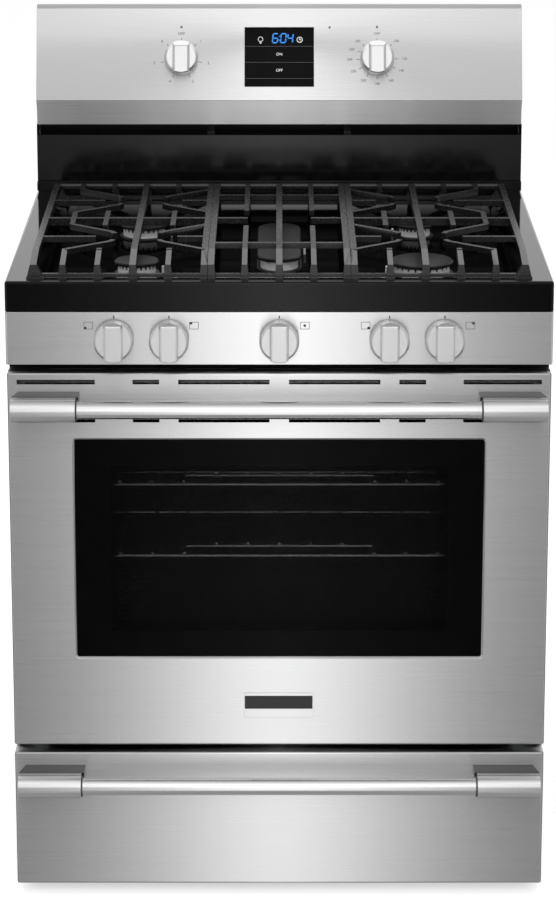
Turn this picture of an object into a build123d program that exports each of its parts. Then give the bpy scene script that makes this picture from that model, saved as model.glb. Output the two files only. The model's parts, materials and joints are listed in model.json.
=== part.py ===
from build123d import *
import os
from math import atan2, degrees

# A freestanding gas range with a drawer, an oven door, five burners under three cast grates,
# and a sloped backguard. Millimetres, +Z up, the front faces -Y, and the origin is on the floor
# under the centre of the overall box.

os.makedirs("parts", exist_ok=True)

# Overall sizes
WIDTH = 759.0
BODY_DEPTH = 665.0
SHEET = 0.9
CLEAR = 0.5
SEAT_GAP = 0.3
RUN_FIT = 0.06

# Front elevation, stacked up from the floor
DRAWER_LIFT = 18.0
DRAWER_HEIGHT = 202.5
DOOR_GAP = 11.5
DOOR_HEIGHT = 551.0
PANEL_GAP = 12.0
PANEL_HEIGHT = 76.5
SKIRT = 42.5
SEAM = 1.0

# Handles: a bar between two brackets with rounded caps
HANDLE_OFFSET = 43.5
HANDLE_CAP_R = 16.5
HANDLE_BAR_R = 12.5
HANDLE_WEB = 14.5
HANDLE_WEB_STEP = 3.5
HANDLE_INSET = 9.5
HANDLE_CAP_LENGTH = 89.0
HANDLE_TAPER = 7.0
HANDLE_WALL = 3.0
HANDLE_TUBE = 1.5
DOOR_HANDLE_DROP = 41.0
DRAWER_HANDLE_DROP = 33.5

# Oven door
FACE_INSET = 1.0
DOOR_THICK = 45.0
SKIN_DEPTH = 30.0
SKIN_LAP = 22.0
LINER_INSET = 14.0
EDGE_R = 3.0
WINDOW_MARGIN = 90.0
WINDOW_HEIGHT = 327.0
WINDOW_SILL = 130.0
WINDOW_LIP = 3.0
GLASS = 4.0
GLASS_LAP = 16.0
INNER_WINDOW_MARGIN = 54.5
INNER_WINDOW_HEIGHT = 240.0
TRIM_HEIGHT = 13.0
TRIM_SETBACK = 8.0
TRIM_WALL = 2.0
SLOT_HEIGHT = 6.5
SLOT_DROPS = (13.0, 68.0)
SLOT_SPANS = ((13.5, 140.5), (167.0, 204.0), (256.5, 365.0))
GROOVE_HEIGHT = 17.0
GROOVE_MARGIN = 11.0
GROOVE_DEPTH = 0.6

# Door hinge: fixed arms with an eye, and cheeks with a pin inside the door
HINGE_INSET = 34.5
HINGE_RISE = 14.0
HINGE_SETBACK = 21.0
HINGE_PIN_R = 4.0
HINGE_EYE_R = 7.5
HINGE_ARM_THICK = 8.0
HINGE_CHEEK_THICK = 2.5
HINGE_CHEEK_HEIGHT = 60.0
HINGE_PAD_LOW = 24.0
HINGE_FOOT_HEIGHT = 44.0
HINGE_FOOT_WIDTH = 22.0
HINGE_FOOT_THICK = 2.0

# Drawer
DRAWER_SKIN_DEPTH = 45.0
DRAWER_SIDE_GAP = 34.5
DRAWER_BOX_DEPTH = 480.0
DRAWER_BOX_HEIGHT = 115.0
DRAWER_BOX_LIFT = 50.0
RUNNER_HEIGHT = 14.0
RUNNER_LIFT = 48.0
RAIL_SHEET = 1.5
RAIL_LIP = 24.0

# Body and oven cavity
BODY_INSET = 0.5
BASE_LIFT = 22.0
BASE_HEIGHT = 18.0
FLANGE = 18.0
LOUVRE_COUNT = 21
LOUVRE_PITCH = 18.0
LOUVRE_LENGTH = 36.0
LOUVRE_WIDTH = 4.5
FRAME_SHEET = 2.0
GASKET_SPACE = 5.0
GASKET_WIDTH = 9.0
GASKET_OFFSET = 4.0
GASKET_THICK = GASKET_SPACE - SEAT_GAP
FRAME_LAP = 12.0
FRAME_RISE = 8.0
CAVITY_SIDE = 74.5
CAVITY_HEIGHT = 490.0
CAVITY_DEPTH = 485.0
CAVITY_LIFT = 20.0
CAVITY_WALL = 1.0
CAVITY_SILL = 23.0
OVEN_FLOOR_LIFT = 55.0
LEDGE = 10.0
INSULATION = 25.0
FOOT_R = 18.0
FOOT_PAD = 8.0
FOOT_STEM_R = 6.0
FOOT_BOSS_R = 12.0
FOOT_NUT_R = 9.6
FOOT_INSET = 52.0

# Racks and their guides
GUIDE_FIRST = 130.0
GUIDE_PITCH = 53.5
GUIDE_COUNT = 6
GUIDE_SHEET = 0.8
GUIDE_LEDGE = 13.0
GUIDE_SETBACK = 20.0
RACK_LEVELS = (2, 4)
RACK_FRAME_R = 3.0
RACK_WIRE_R = 2.2
RACK_CROSS_R = 2.6
RACK_WIRES = 13
RACK_CORNER = 14.0
RACK_STOP_RISE = 20.0
RACK_STOP_PITCHES = 4.5
RACK_HOLD = 43.0
RACK_HOLD_PITCHES = 3

# Convection fan and lamp on the cavity's rear wall
FAN_RISE = 250.0
FAN_R = 72.0
FAN_DEPTH = 22.0
FAN_BLADES = 8
FAN_SHAFT_R = 4.0
FAN_HOLE_R = 6.0
FAN_HUB_R = 12.0
BLADE_LENGTH = 43.0
BLADE_MID = 49.0
FAN_COVER_SIDE = 250.0
FAN_COVER_DEPTH = 42.0
FAN_COVER_BEVEL = 10.5
COVER_SLOTS = 16
COVER_SLOT_MID = 43.0
COVER_SLOT_LENGTH = 36.0
COVER_SLOT_WIDTH = 7.2
COVER_SIDE_PITCH = 50.0
COVER_SIDE_SLOT = 30.0
MOTOR_R = 38.0
MOTOR_LENGTH = 46.0
MOTOR_EAR_SPAN = 114.0
MOTOR_EAR = 3.6
MOTOR_CUT_HALF = 61.0
LAMP_R = 28.0
LAMP_DEPTH = 22.0
LAMP_RIM = 3.6
LAMP_INSET = 90.0
LAMP_DROP = 90.0

# Oven burners
OVEN_TUBE_R = 10.0
OVEN_TUBE_WALL = 1.0
OVEN_TUBE_HALF = 110.0
OVEN_TUBE_BEND = 45.0
BAKE_RISE = 28.0
BROIL_DROP = 26.0

# Cooktop
COOKTOP_DEPTH = 612.0
COOKTOP_SHEET = 1.2
COOKTOP_EDGE_R = 4.0
WELL_SIDE = 34.5
WELL_FRONT = 28.0
WELL_REAR = 497.0
WELL_DEPTH = 25.0
WELL_CORNER = 34.0
WELL_TAPER = 22.0

# Burners
BURNER_X = 203.0
BURNER_PITCH = 241.0
BURNER_MID = 270.0
HEAD_FLANGE = 2.5
HEAD_HEIGHT = 16.0
HEAD_PORTS = 24
PORT_WIDTH = 2.8
PORT_DEPTH = 2.5
CAP_HEIGHT = 4.5
CAP_CHAMFER = 1.5
THROAT_R = 11.0
THROAT_LENGTH = 36.0
LEFT_FRONT_CAP_R = 32.0
LEFT_REAR_CAP_R = 36.0
RIGHT_FRONT_CAP_R = 45.0
RIGHT_REAR_CAP_R = 28.0
CAP_OVERHANG = 5.0
OVAL_LENGTH = 240.0
OVAL_WIDTH = 64.0
IGNITER_R = 1.8
IGNITER_GAP = 5.0
IGNITER_HEIGHT = 12.0
IGNITER_CLIP_R = 4.8
IGNITER_CLIP = 7.2

# Cast grates
GRATE_RISE = 30.0
GRATE_FRONT = 16.0
GRATE_REAR = 542.0
GRATE_BAR = 9.0
GRATE_FINGER = 7.5
GRATE_BAR_DEPTH = 11.0
GRATE_FINGER_DEPTH = 8.0
GRATE_SIDE = 39.0
GRATE_INNER_X = 104.0
CENTRE_GRATE_X = 94.5
FRONT_REACH = 56.0
REAR_REACH = 30.0
LEG_DROP = 10.0
LEG_THICK = 11.0
GRATE_FOOT = 6.25
GRATE_FOOT_STEP = 2.0
GRATE_FOOT_LIP = 4.0
GRATE_FOOT_LIFT = 4.0
CORNER_OUT = 9.5
CORNER_IN = 15.5
RAIL_LIFT = 1.5
RAIL_HEIGHT = 4.5
FINGER_TIP_X = 35.0
FINGER_TIP_Y = 29.0
FINGER_ROOT_X = 97.0
FINGER_ROOT_Y = 80.0
FINGER_HOOK = 9.0
SIDE_FINGER = 58.0
STUB_X = 49.0
STUB_LENGTH = 26.0
STUB_TIP = 4.0
MID_STUB = 49.0
CENTRE_FINGER_X = 48.0
CENTRE_FINGER_GAP = 50.0
CENTRE_CROSS = 160.0
CENTRE_STUB_X = 46.0

# Manifold panel, knobs, valves and gas train
KNOB_PITCH_NEAR = 152.5
KNOB_PITCH_FAR = 229.0
KNOB_R = 27.5
KNOB_BEVEL = 3.5
KNOB_SKIRT = 20.5
KNOB_GRIP_WIDTH = 21.0
KNOB_GRIP_DRAFT = 2.8
KNOB_GRIP_DEPTH = 26.5
KNOB_SCOOP = 3.5
KNOB_CHAMFER = 1.2
KNOB_PUSH_GAP = 4.0
KNOB_BORE_DEPTH = 20.0
STEM_R = 4.0
STEM_FLAT = 2.6
STEM_FIT = 0.1
STEM_REACH = 16.0
STEM_HOLE_R = 6.0
VALVE_FRONT = 20.0
VALVE_WIDTH = 24.0
VALVE_HEIGHT = 26.0
VALVE_DEPTH = 30.0
VALVE_BOSS_R = 6.0
VALVE_BOSS_HEIGHT = 4.0
MANIFOLD_R = 11.0
MANIFOLD_WALL = 3.0
MANIFOLD_END = 22.0
PIPE_SIDE_GAP = 19.0
PIPE_REAR_GAP = 45.0
PIPE_BEND = 25.0
TUBE_R = 4.0
TUBE_BEND = 8.0
TUBE_DROP = 27.5
REGULATOR_Z = 140.0
REGULATOR_WIDTH = 34.0
REGULATOR_HEIGHT = 46.0
REGULATOR_DEPTH = 52.0
REGULATOR_DOME_R = 24.0
REGULATOR_DOME_LENGTH = 26.0
GAS_INLET_R = 9.1
GAS_INLET_DEPTH = 16.0
GAS_BOSS_R = 15.0
GAS_ACCESS = 30.0
PANEL_SEAM = 0.6
GLAND_X = -250.0
GLAND_Z = 120.0
GLAND_BORE_R = 4.6
GLAND_BODY_R = 9.0
GLAND_LIP_R = 13.0
GLAND_LENGTH = 14.0
GLAND_LIP = 3.0

# Riser, vent and backguard; heights are above the cooktop's rim
RISER_SETBACK = 600.0
RISER_STEP = 14.0
RISER_LEDGE = 16.0
RISER_HEIGHT = 86.0
RISER_FLANGE = 10.0
VENT_HEIGHT = 18.0
VENT_TAB_X = 107.0
VENT_TAB_WIDTH = 12.0
VENT_TAB_DEPTH = 6.0
STRIP_SETBACK = 627.0
CREASE_RISE = 143.0
CREASE_SETBACK = 603.0
FACE_TOP_RISE = 280.0
FACE_TOP_SETBACK = 650.0
GUARD_RISE = 286.0
GUARD_CROWN = 6.0
DISPLAY_WIDTH = 107.0
DISPLAY_HEIGHT = 93.0
DISPLAY_DROP = 4.0
DISPLAY_THICK = 3.0
DISPLAY_PROUD = 0.5
DISPLAY_FIT = 0.3
CONTROL_X = 152.5
CONTROL_DROP = 7.0
CONTROL_R = 26.0
CONTROL_SCOOP = 9.5
CONTROL_GAP = 1.0
CONTROL_STEM_R = 3.0
CONTROL_STEM_HOLE_R = 4.5
BOARD_OFFSET = 18.0
BOARD_THICK = 2.0
BOARD_MARGIN = 30.0
ENCODER_SIDE = 24.0

# Flue duct from the cavity's roof to the vent
DUCT_WIDTH = 150.0
DUCT_DEPTH = 25.0
DUCT_RUN = 30.0
DUCT_INLET = 36.0
DUCT_INLET_SETBACK = 30.0
DUCT_REAR_GAP = 10.0

# Levels and planes worked out from the sizes above
DRAWER_TOP = DRAWER_LIFT + DRAWER_HEIGHT
DOOR_BOTTOM = DRAWER_TOP + DOOR_GAP
DOOR_TOP = DOOR_BOTTOM + DOOR_HEIGHT
PANEL_BOTTOM = DOOR_TOP + PANEL_GAP
PANEL_TOP = PANEL_BOTTOM + PANEL_HEIGHT
RIM = PANEL_TOP + SKIRT
HANDLE_REACH = HANDLE_OFFSET + HANDLE_CAP_R
FRONT = (HANDLE_REACH - BODY_DEPTH) / 2
REAR = FRONT + BODY_DEPTH
FACE_WIDTH = WIDTH - 2 * FACE_INSET
HANDLE_HALF = WIDTH / 2 - HANDLE_INSET
WINDOW_WIDTH = WIDTH - 2 * WINDOW_MARGIN
INNER_WINDOW_WIDTH = WINDOW_WIDTH - 2 * INNER_WINDOW_MARGIN
HINGE_SPAN = WIDTH / 2 - HINGE_INSET
DRAWER_BOX_WIDTH = WIDTH - 2 * DRAWER_SIDE_GAP
CAVITY_WIDTH = WIDTH - 2 * CAVITY_SIDE
LAMP_X = LAMP_INSET - CAVITY_WIDTH / 2
WELL_HALF = WIDTH / 2 - WELL_SIDE
GRATE_OUTER_X = WIDTH / 2 - GRATE_SIDE
BODY_HALF = WIDTH / 2 - BODY_INSET
INNER_HALF = BODY_HALF - SHEET
DOOR_BACK = FRONT + DOOR_THICK
SKIN_BACK = FRONT + SKIN_DEPTH
FRAME_FRONT = DOOR_BACK + GASKET_SPACE
FRAME_BACK = FRAME_FRONT + FRAME_SHEET
FRAME_BOTTOM = DRAWER_TOP - FRAME_LAP
CAVITY_BOTTOM = DOOR_BOTTOM + CAVITY_LIFT
CAVITY_TOP = CAVITY_BOTTOM + CAVITY_HEIGHT
CAVITY_REAR = FRAME_BACK + CAVITY_DEPTH
CAVITY_OUTER_REAR = CAVITY_REAR + CAVITY_WALL
CAVITY_ROOF = CAVITY_TOP + CAVITY_WALL
OPENING_BOTTOM = CAVITY_BOTTOM + CAVITY_SILL
WELL_FLOOR = RIM - WELL_DEPTH
KNOB_Z = (PANEL_BOTTOM + PANEL_TOP - SEAM) / 2
KNOB_XS = (-KNOB_PITCH_FAR, -KNOB_PITCH_NEAR, 0.0, KNOB_PITCH_NEAR, KNOB_PITCH_FAR)
KNOB_NAMES = ("left_front", "left_rear", "centre", "right_front", "right_rear")
BURNER_FRONT_Y = FRONT + BURNER_MID - BURNER_PITCH / 2
BURNER_REAR_Y = FRONT + BURNER_MID + BURNER_PITCH / 2
BURNER_MID_Y = FRONT + BURNER_MID
BURNER_PLACES = (
    (-BURNER_X, BURNER_FRONT_Y),
    (-BURNER_X, BURNER_REAR_Y),
    (0.0, BURNER_MID_Y),
    (BURNER_X, BURNER_FRONT_Y),
    (BURNER_X, BURNER_REAR_Y),
)
ROUND_CAPS = (LEFT_FRONT_CAP_R, LEFT_REAR_CAP_R, None, RIGHT_FRONT_CAP_R, RIGHT_REAR_CAP_R)
HEAD_TOP = WELL_FLOOR + HEAD_HEIGHT
GRATE_TOP = RIM + GRATE_RISE
HINGE_Y = FRONT + HINGE_SETBACK
HINGE_Z = DOOR_BOTTOM + HINGE_RISE
NOTCH_WIDTH = HINGE_ARM_THICK + 2 * HINGE_CHEEK_THICK + 6 * CLEAR
TUBE_Z = WELL_FLOOR - TUBE_DROP
VALVE_BACK = FRONT + VALVE_FRONT + VALVE_DEPTH
MANIFOLD_Y = VALVE_BACK + SEAT_GAP + MANIFOLD_R
VALVE_OUTLET_Y = FRONT + VALVE_FRONT + VALVE_DEPTH / 2
VALVE_OUTLET_Z = KNOB_Z + VALVE_HEIGHT / 2 + VALVE_BOSS_HEIGHT
PIPE_X = INNER_HALF - PIPE_SIDE_GAP
PIPE_Y = REAR - PIPE_REAR_GAP
RISER_TOP = RIM + RISER_HEIGHT
GUARD_BOTTOM = RISER_TOP + VENT_HEIGHT
GUARD_TOP = RIM + GUARD_RISE
CREASE = (FRONT + CREASE_SETBACK, RIM + CREASE_RISE)
FACE_TOP = (FRONT + FACE_TOP_SETBACK, RIM + FACE_TOP_RISE)
FAN_Z = CAVITY_BOTTOM + FAN_RISE
DUCT_REAR = REAR - SHEET - DUCT_REAR_GAP
DUCT_FRONT = DUCT_REAR - DUCT_DEPTH
RUNNER_Z = DRAWER_BOX_LIFT + RUNNER_LIFT
FEET = [(x, y) for x in (-(BODY_HALF - FOOT_INSET), BODY_HALF - FOOT_INSET)
        for y in (FRAME_BACK + FOOT_INSET, REAR - FOOT_INSET)]


def save(piece, name):
    piece.part.label = name
    export_step(piece.part, f"parts/{name}.step")


def block(x0, x1, y0, y1, z0, z1, mode=Mode.ADD):
    """A box between two corners."""
    with Locations(((x0 + x1) / 2, (y0 + y1) / 2, (z0 + z1) / 2)):
        Box(x1 - x0, y1 - y0, z1 - z0, mode=mode)


def facing_front(x, y, z):
    """A plane whose normal points out of the front, with its y axis upright."""
    return Plane(origin=(x, y, z), x_dir=(1, 0, 0), z_dir=(0, -1, 0))


def bar(start, end, width):
    """A straight bar of a sketch, from one point to another."""
    run_x = end[0] - start[0]
    run_y = end[1] - start[1]
    middle = ((start[0] + end[0]) / 2, (start[1] + end[1]) / 2)
    with Locations(Location((middle[0], middle[1], 0), (0, 0, degrees(atan2(run_y, run_x))))):
        Rectangle((run_x ** 2 + run_y ** 2) ** 0.5, width)


# Base pan with a boss for each foot
with BuildPart() as base_pan:
    block(-INNER_HALF, INNER_HALF, FRAME_BACK, REAR - SHEET, BASE_LIFT, BASE_LIFT + BASE_HEIGHT)
    block(-INNER_HALF + SHEET, INNER_HALF - SHEET, FRAME_BACK + SHEET, REAR - 2 * SHEET,
          BASE_LIFT + SHEET, BASE_LIFT + BASE_HEIGHT, mode=Mode.SUBTRACT)
    with BuildSketch(Plane.XY.offset(BASE_LIFT)):
        with Locations(*FEET):
            Circle(FOOT_BOSS_R)
    extrude(amount=BASE_HEIGHT)
    with BuildSketch(Plane.XY.offset(BASE_LIFT)):
        with Locations(*FEET):
            Circle(FOOT_STEM_R + RUN_FIT)
    extrude(amount=BASE_HEIGHT, mode=Mode.SUBTRACT)
save(base_pan, "base_pan")

# Levelling feet: a pad on a stem
with BuildPart() as levelling_feet:
    with BuildSketch(Plane.XY):
        with Locations(*FEET):
            Circle(FOOT_R)
    extrude(amount=FOOT_PAD)
    chamfer(levelling_feet.edges().group_by(Axis.Z)[-1], FOOT_PAD / 3)
    with BuildSketch(Plane.XY.offset(FOOT_PAD)):
        with Locations(*FEET):
            RegularPolygon(FOOT_NUT_R, 6)
    extrude(amount=BASE_LIFT - FOOT_PAD)
    with BuildSketch(Plane.XY.offset(BASE_LIFT)):
        with Locations(*FEET):
            Circle(FOOT_STEM_R)
    extrude(amount=BASE_HEIGHT)
save(levelling_feet, "levelling_feet")

# Side panels with a top flange and a flange behind the front frame
with BuildPart() as side_panels:
    block(INNER_HALF, BODY_HALF, FRAME_BACK, REAR - SHEET, BASE_LIFT, PANEL_TOP)
    block(INNER_HALF - FLANGE, BODY_HALF, FRAME_BACK, REAR - SHEET, PANEL_TOP - SHEET, PANEL_TOP)
    block(INNER_HALF - FLANGE, BODY_HALF, FRAME_BACK, FRAME_BACK + SHEET, FRAME_BOTTOM, PANEL_TOP)
    mirror(about=Plane.YZ)
save(side_panels, "side_panels")

# Front frame: a plate with the oven's opening
with BuildPart() as front_frame:
    block(-BODY_HALF, BODY_HALF, FRAME_FRONT, FRAME_BACK, FRAME_BOTTOM, PANEL_BOTTOM + FRAME_RISE)
    block(-CAVITY_WIDTH / 2, CAVITY_WIDTH / 2, FRAME_FRONT, FRAME_BACK, OPENING_BOTTOM, CAVITY_TOP,
          mode=Mode.SUBTRACT)
save(front_frame, "front_frame")

# Oven cavity: five walls, floor ledges, the flue's inlet and the holes of the rear wall
BURNER_INLET_ZS = (CAVITY_BOTTOM + BAKE_RISE, CAVITY_TOP - BROIL_DROP)
DUCT_INLET_Y = CAVITY_REAR - DUCT_INLET_SETBACK - DUCT_INLET / 2
with BuildPart() as oven_cavity:
    block(-CAVITY_WIDTH / 2 - CAVITY_WALL, CAVITY_WIDTH / 2 + CAVITY_WALL, FRAME_BACK, CAVITY_OUTER_REAR,
          CAVITY_BOTTOM - CAVITY_WALL, CAVITY_ROOF)
    block(-CAVITY_WIDTH / 2, CAVITY_WIDTH / 2, FRAME_BACK, CAVITY_REAR, CAVITY_BOTTOM, CAVITY_TOP,
          mode=Mode.SUBTRACT)
    for side in (-1, 1):
        edges_x = sorted((side * CAVITY_WIDTH / 2, side * (CAVITY_WIDTH / 2 - LEDGE)))
        block(edges_x[0], edges_x[1], FRAME_BACK + CLEAR, CAVITY_REAR,
              CAVITY_BOTTOM + OVEN_FLOOR_LIFT - CAVITY_WALL, CAVITY_BOTTOM + OVEN_FLOOR_LIFT)
    block(-DUCT_WIDTH / 2 + SHEET, DUCT_WIDTH / 2 - SHEET, DUCT_INLET_Y - DUCT_INLET / 2,
          DUCT_INLET_Y + DUCT_INLET / 2, CAVITY_TOP, CAVITY_ROOF, mode=Mode.SUBTRACT)
    with BuildSketch(facing_front(0, CAVITY_OUTER_REAR, 0)):
        with Locations((0, FAN_Z)):
            Circle(FAN_HOLE_R)
        with Locations(*[(OVEN_TUBE_HALF, z) for z in BURNER_INLET_ZS]):
            Circle(OVEN_TUBE_R + CLEAR)
    extrude(amount=CAVITY_WALL, mode=Mode.SUBTRACT)
save(oven_cavity, "oven_cavity")

# Removable oven floor with slots along both sides
FLOOR_Z = CAVITY_BOTTOM + OVEN_FLOOR_LIFT
FLOOR_SLOTS = 9
with BuildPart() as oven_floor:
    block(-CAVITY_WIDTH / 2 + CLEAR, CAVITY_WIDTH / 2 - CLEAR, FRAME_BACK + CLEAR, CAVITY_REAR - CLEAR,
          FLOOR_Z, FLOOR_Z + CAVITY_WALL)
    with BuildSketch(Plane.XY.offset(FLOOR_Z)):
        with Locations((0, (FRAME_BACK + CAVITY_REAR) / 2)):
            with GridLocations(CAVITY_WIDTH - 6 * LEDGE, CAVITY_DEPTH / (FLOOR_SLOTS + 1), 2, FLOOR_SLOTS):
                Rectangle(LEDGE, CAVITY_DEPTH / (FLOOR_SLOTS + 1) / 2)
    extrude(amount=CAVITY_WALL, mode=Mode.SUBTRACT)
save(oven_floor, "oven_floor")


def oven_burner_tube(z, wall_z):
    """A U-shaped tube burner that enters through the rear wall and stands on or hangs from a wall."""
    near = FRAME_BACK + 2 * OVEN_TUBE_BEND
    far = CAVITY_REAR - OVEN_TUBE_BEND
    with BuildLine() as path:
        FilletPolyline((OVEN_TUBE_HALF, CAVITY_OUTER_REAR + OVEN_TUBE_R, z), (OVEN_TUBE_HALF, near, z),
                       (-OVEN_TUBE_HALF, near, z), (-OVEN_TUBE_HALF, far, z), radius=OVEN_TUBE_BEND)
    with BuildSketch(facing_front(OVEN_TUBE_HALF, CAVITY_OUTER_REAR + OVEN_TUBE_R, z)) as section:
        Circle(OVEN_TUBE_R)
        Circle(OVEN_TUBE_R - OVEN_TUBE_WALL, mode=Mode.SUBTRACT)
    sweep(section.sketch, path=path.line)
    stand = OVEN_TUBE_R - OVEN_TUBE_WALL / 2
    for x in (-OVEN_TUBE_HALF, OVEN_TUBE_HALF):
        low, high = sorted((z + stand if wall_z > z else z - stand, wall_z))
        block(x - OVEN_TUBE_R / 2, x + OVEN_TUBE_R / 2, far - OVEN_TUBE_BEND, far, low, high)


# Bake burner under the oven floor and broil burner under the roof
with BuildPart() as oven_burners:
    oven_burner_tube(BURNER_INLET_ZS[0], CAVITY_BOTTOM)
    oven_burner_tube(BURNER_INLET_ZS[1], CAVITY_TOP)
save(oven_burners, "oven_burners")

# Rack guides: a strip with a ledge at each level, on both side walls
GUIDE_BOTTOM = CAVITY_BOTTOM + GUIDE_FIRST
with BuildPart() as rack_guides:
    with BuildSketch(Plane.XZ.offset(-(FRAME_BACK + GUIDE_SETBACK))):
        with Locations((CAVITY_WIDTH / 2 - GUIDE_SHEET / 2,
                        GUIDE_BOTTOM + GUIDE_PITCH * (GUIDE_COUNT - 1) / 2)):
            Rectangle(GUIDE_SHEET, GUIDE_PITCH * GUIDE_COUNT)
        for level in range(GUIDE_COUNT):
            with Locations((CAVITY_WIDTH / 2 - GUIDE_LEDGE / 2,
                            GUIDE_BOTTOM + GUIDE_PITCH * level - GUIDE_SHEET / 2)):
                Rectangle(GUIDE_LEDGE, GUIDE_SHEET)
    extrude(amount=-(CAVITY_DEPTH - 2 * GUIDE_SETBACK - FAN_COVER_DEPTH))
    mirror(about=Plane.YZ)
save(rack_guides, "rack_guides")

# Oven racks: a wire frame with fore-and-aft wires, a hand-hold at the front and a raised stop at the rear
RACK_HALF = CAVITY_WIDTH / 2 - GUIDE_LEDGE + RACK_FRAME_R
RACK_FRONT = FRAME_BACK + GUIDE_SETBACK
RACK_REAR = CAVITY_REAR - FAN_COVER_DEPTH - GUIDE_SETBACK
RACK_PITCH = 2 * RACK_HALF / RACK_WIRES
RACK_STOP_HALF = RACK_STOP_PITCHES * RACK_PITCH


def rod(start, end, radius):
    """A straight round wire."""
    direction = Vector(*end) - Vector(*start)
    with BuildSketch(Plane(origin=start, z_dir=direction)) as section:
        Circle(radius)
    extrude(section.sketch, amount=direction.length)


def make_rack(level):
    """The frame with its wires, and the stop as a second wire on top of the frame's rear bar."""
    z = GUIDE_BOTTOM + GUIDE_PITCH * level + SEAT_GAP + RACK_FRAME_R
    wire_z = z + RACK_FRAME_R + RACK_WIRE_R / 3
    foot_z = z + RACK_FRAME_R
    stop_z = z + RACK_STOP_RISE
    middle = (RACK_FRONT + RACK_REAR) / 2
    hold_y = RACK_FRONT + RACK_HOLD
    hold_half = RACK_HOLD_PITCHES * RACK_PITCH + RACK_WIRE_R
    with BuildSketch(Plane(origin=(0, middle, z))) as outline:
        RectangleRounded(2 * RACK_HALF, RACK_REAR - RACK_FRONT, RACK_CORNER)
    loop = outline.sketch.faces()[0].outer_wire()
    with BuildPart() as rack:
        with BuildSketch(Plane(origin=loop @ 0, z_dir=loop % 0)):
            Circle(RACK_FRAME_R)
        sweep(path=loop)
        rod((-RACK_HALF, middle, z), (RACK_HALF, middle, z), RACK_CROSS_R)
        rod((-hold_half, hold_y, z), (hold_half, hold_y, z), RACK_CROSS_R)
        for index in range(RACK_WIRES):
            place = index - (RACK_WIRES - 1) / 2
            x = place * RACK_PITCH
            wire_front = hold_y if abs(place) < RACK_HOLD_PITCHES else RACK_FRONT
            rod((x, wire_front - RACK_FRAME_R / 2, wire_z), (x, RACK_REAR + RACK_FRAME_R / 2, wire_z),
                RACK_WIRE_R)
        with BuildLine() as stop:
            FilletPolyline((-RACK_STOP_HALF, RACK_REAR, foot_z), (-RACK_STOP_HALF, RACK_REAR, stop_z),
                           (RACK_STOP_HALF, RACK_REAR, stop_z), (RACK_STOP_HALF, RACK_REAR, foot_z),
                           radius=RACK_CORNER / 2)
        with BuildSketch(Plane(origin=(-RACK_STOP_HALF, RACK_REAR, foot_z), z_dir=(0, 0, 1))):
            Circle(RACK_WIRE_R)
        sweep(path=stop.line)
    return rack


save(make_rack(RACK_LEVELS[1]), "upper_rack")
save(make_rack(RACK_LEVELS[0]), "lower_rack")

# Convection fan: cover, rotor with its shaft, and motor behind the wall
COVER_FRONT = CAVITY_REAR - FAN_COVER_DEPTH
with BuildPart() as fan_cover:
    half = FAN_COVER_SIDE / 2
    block(-half, half, COVER_FRONT, CAVITY_REAR, FAN_Z - half, FAN_Z + half)
    chamfer(fan_cover.faces().sort_by(Axis.Y)[0].edges(), FAN_COVER_BEVEL)
    block(-half + SHEET, half - SHEET, COVER_FRONT + SHEET, CAVITY_REAR, FAN_Z - half + FAN_COVER_BEVEL,
          FAN_Z + half - FAN_COVER_BEVEL, mode=Mode.SUBTRACT)
    with BuildSketch(facing_front(0, COVER_FRONT + 2 * SHEET, FAN_Z)):
        with PolarLocations(COVER_SLOT_MID, COVER_SLOTS):
            Rectangle(COVER_SLOT_LENGTH, COVER_SLOT_WIDTH)
    extrude(amount=3 * SHEET, mode=Mode.SUBTRACT)
    with BuildSketch(facing_front(0, CAVITY_REAR - FAN_COVER_BEVEL, FAN_Z)):
        with GridLocations(FAN_COVER_SIDE, COVER_SIDE_PITCH, 2, 3):
            Rectangle(4 * SHEET, COVER_SIDE_SLOT)
    extrude(amount=FAN_COVER_BEVEL, mode=Mode.SUBTRACT)
save(fan_cover, "fan_cover")

ROTOR_BACK = CAVITY_REAR - 2 * FAN_SHAFT_R
with BuildPart() as fan_rotor:
    with BuildSketch(facing_front(0, ROTOR_BACK, FAN_Z)):
        Circle(FAN_R)
    extrude(amount=SHEET)
    with BuildSketch(facing_front(0, ROTOR_BACK, FAN_Z)):
        Circle(FAN_HUB_R)
    extrude(amount=FAN_DEPTH)
    with BuildSketch(facing_front(0, ROTOR_BACK, FAN_Z)):
        with PolarLocations(BLADE_MID, FAN_BLADES):
            Rectangle(BLADE_LENGTH, SHEET)
    extrude(amount=FAN_DEPTH)
    with BuildSketch(facing_front(0, CAVITY_OUTER_REAR + MOTOR_LENGTH / 2, FAN_Z)):
        Circle(FAN_SHAFT_R)
    extrude(amount=CAVITY_OUTER_REAR + MOTOR_LENGTH / 2 - ROTOR_BACK)
save(fan_rotor, "fan_rotor")

with BuildPart() as fan_motor:
    with BuildSketch(facing_front(0, CAVITY_OUTER_REAR + MOTOR_LENGTH, FAN_Z)):
        Circle(MOTOR_R)
    extrude(amount=MOTOR_LENGTH)
    with BuildSketch(facing_front(0, CAVITY_OUTER_REAR + MOTOR_EAR, FAN_Z)):
        RectangleRounded(MOTOR_EAR_SPAN, MOTOR_R, MOTOR_R / 4)
    extrude(amount=MOTOR_EAR)
    with BuildSketch(facing_front(0, CAVITY_OUTER_REAR + MOTOR_LENGTH / 2 + CLEAR, FAN_Z)):
        Circle(FAN_SHAFT_R + RUN_FIT)
    extrude(amount=MOTOR_LENGTH / 2 + CLEAR, mode=Mode.SUBTRACT)
save(fan_motor, "fan_motor")

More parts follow.
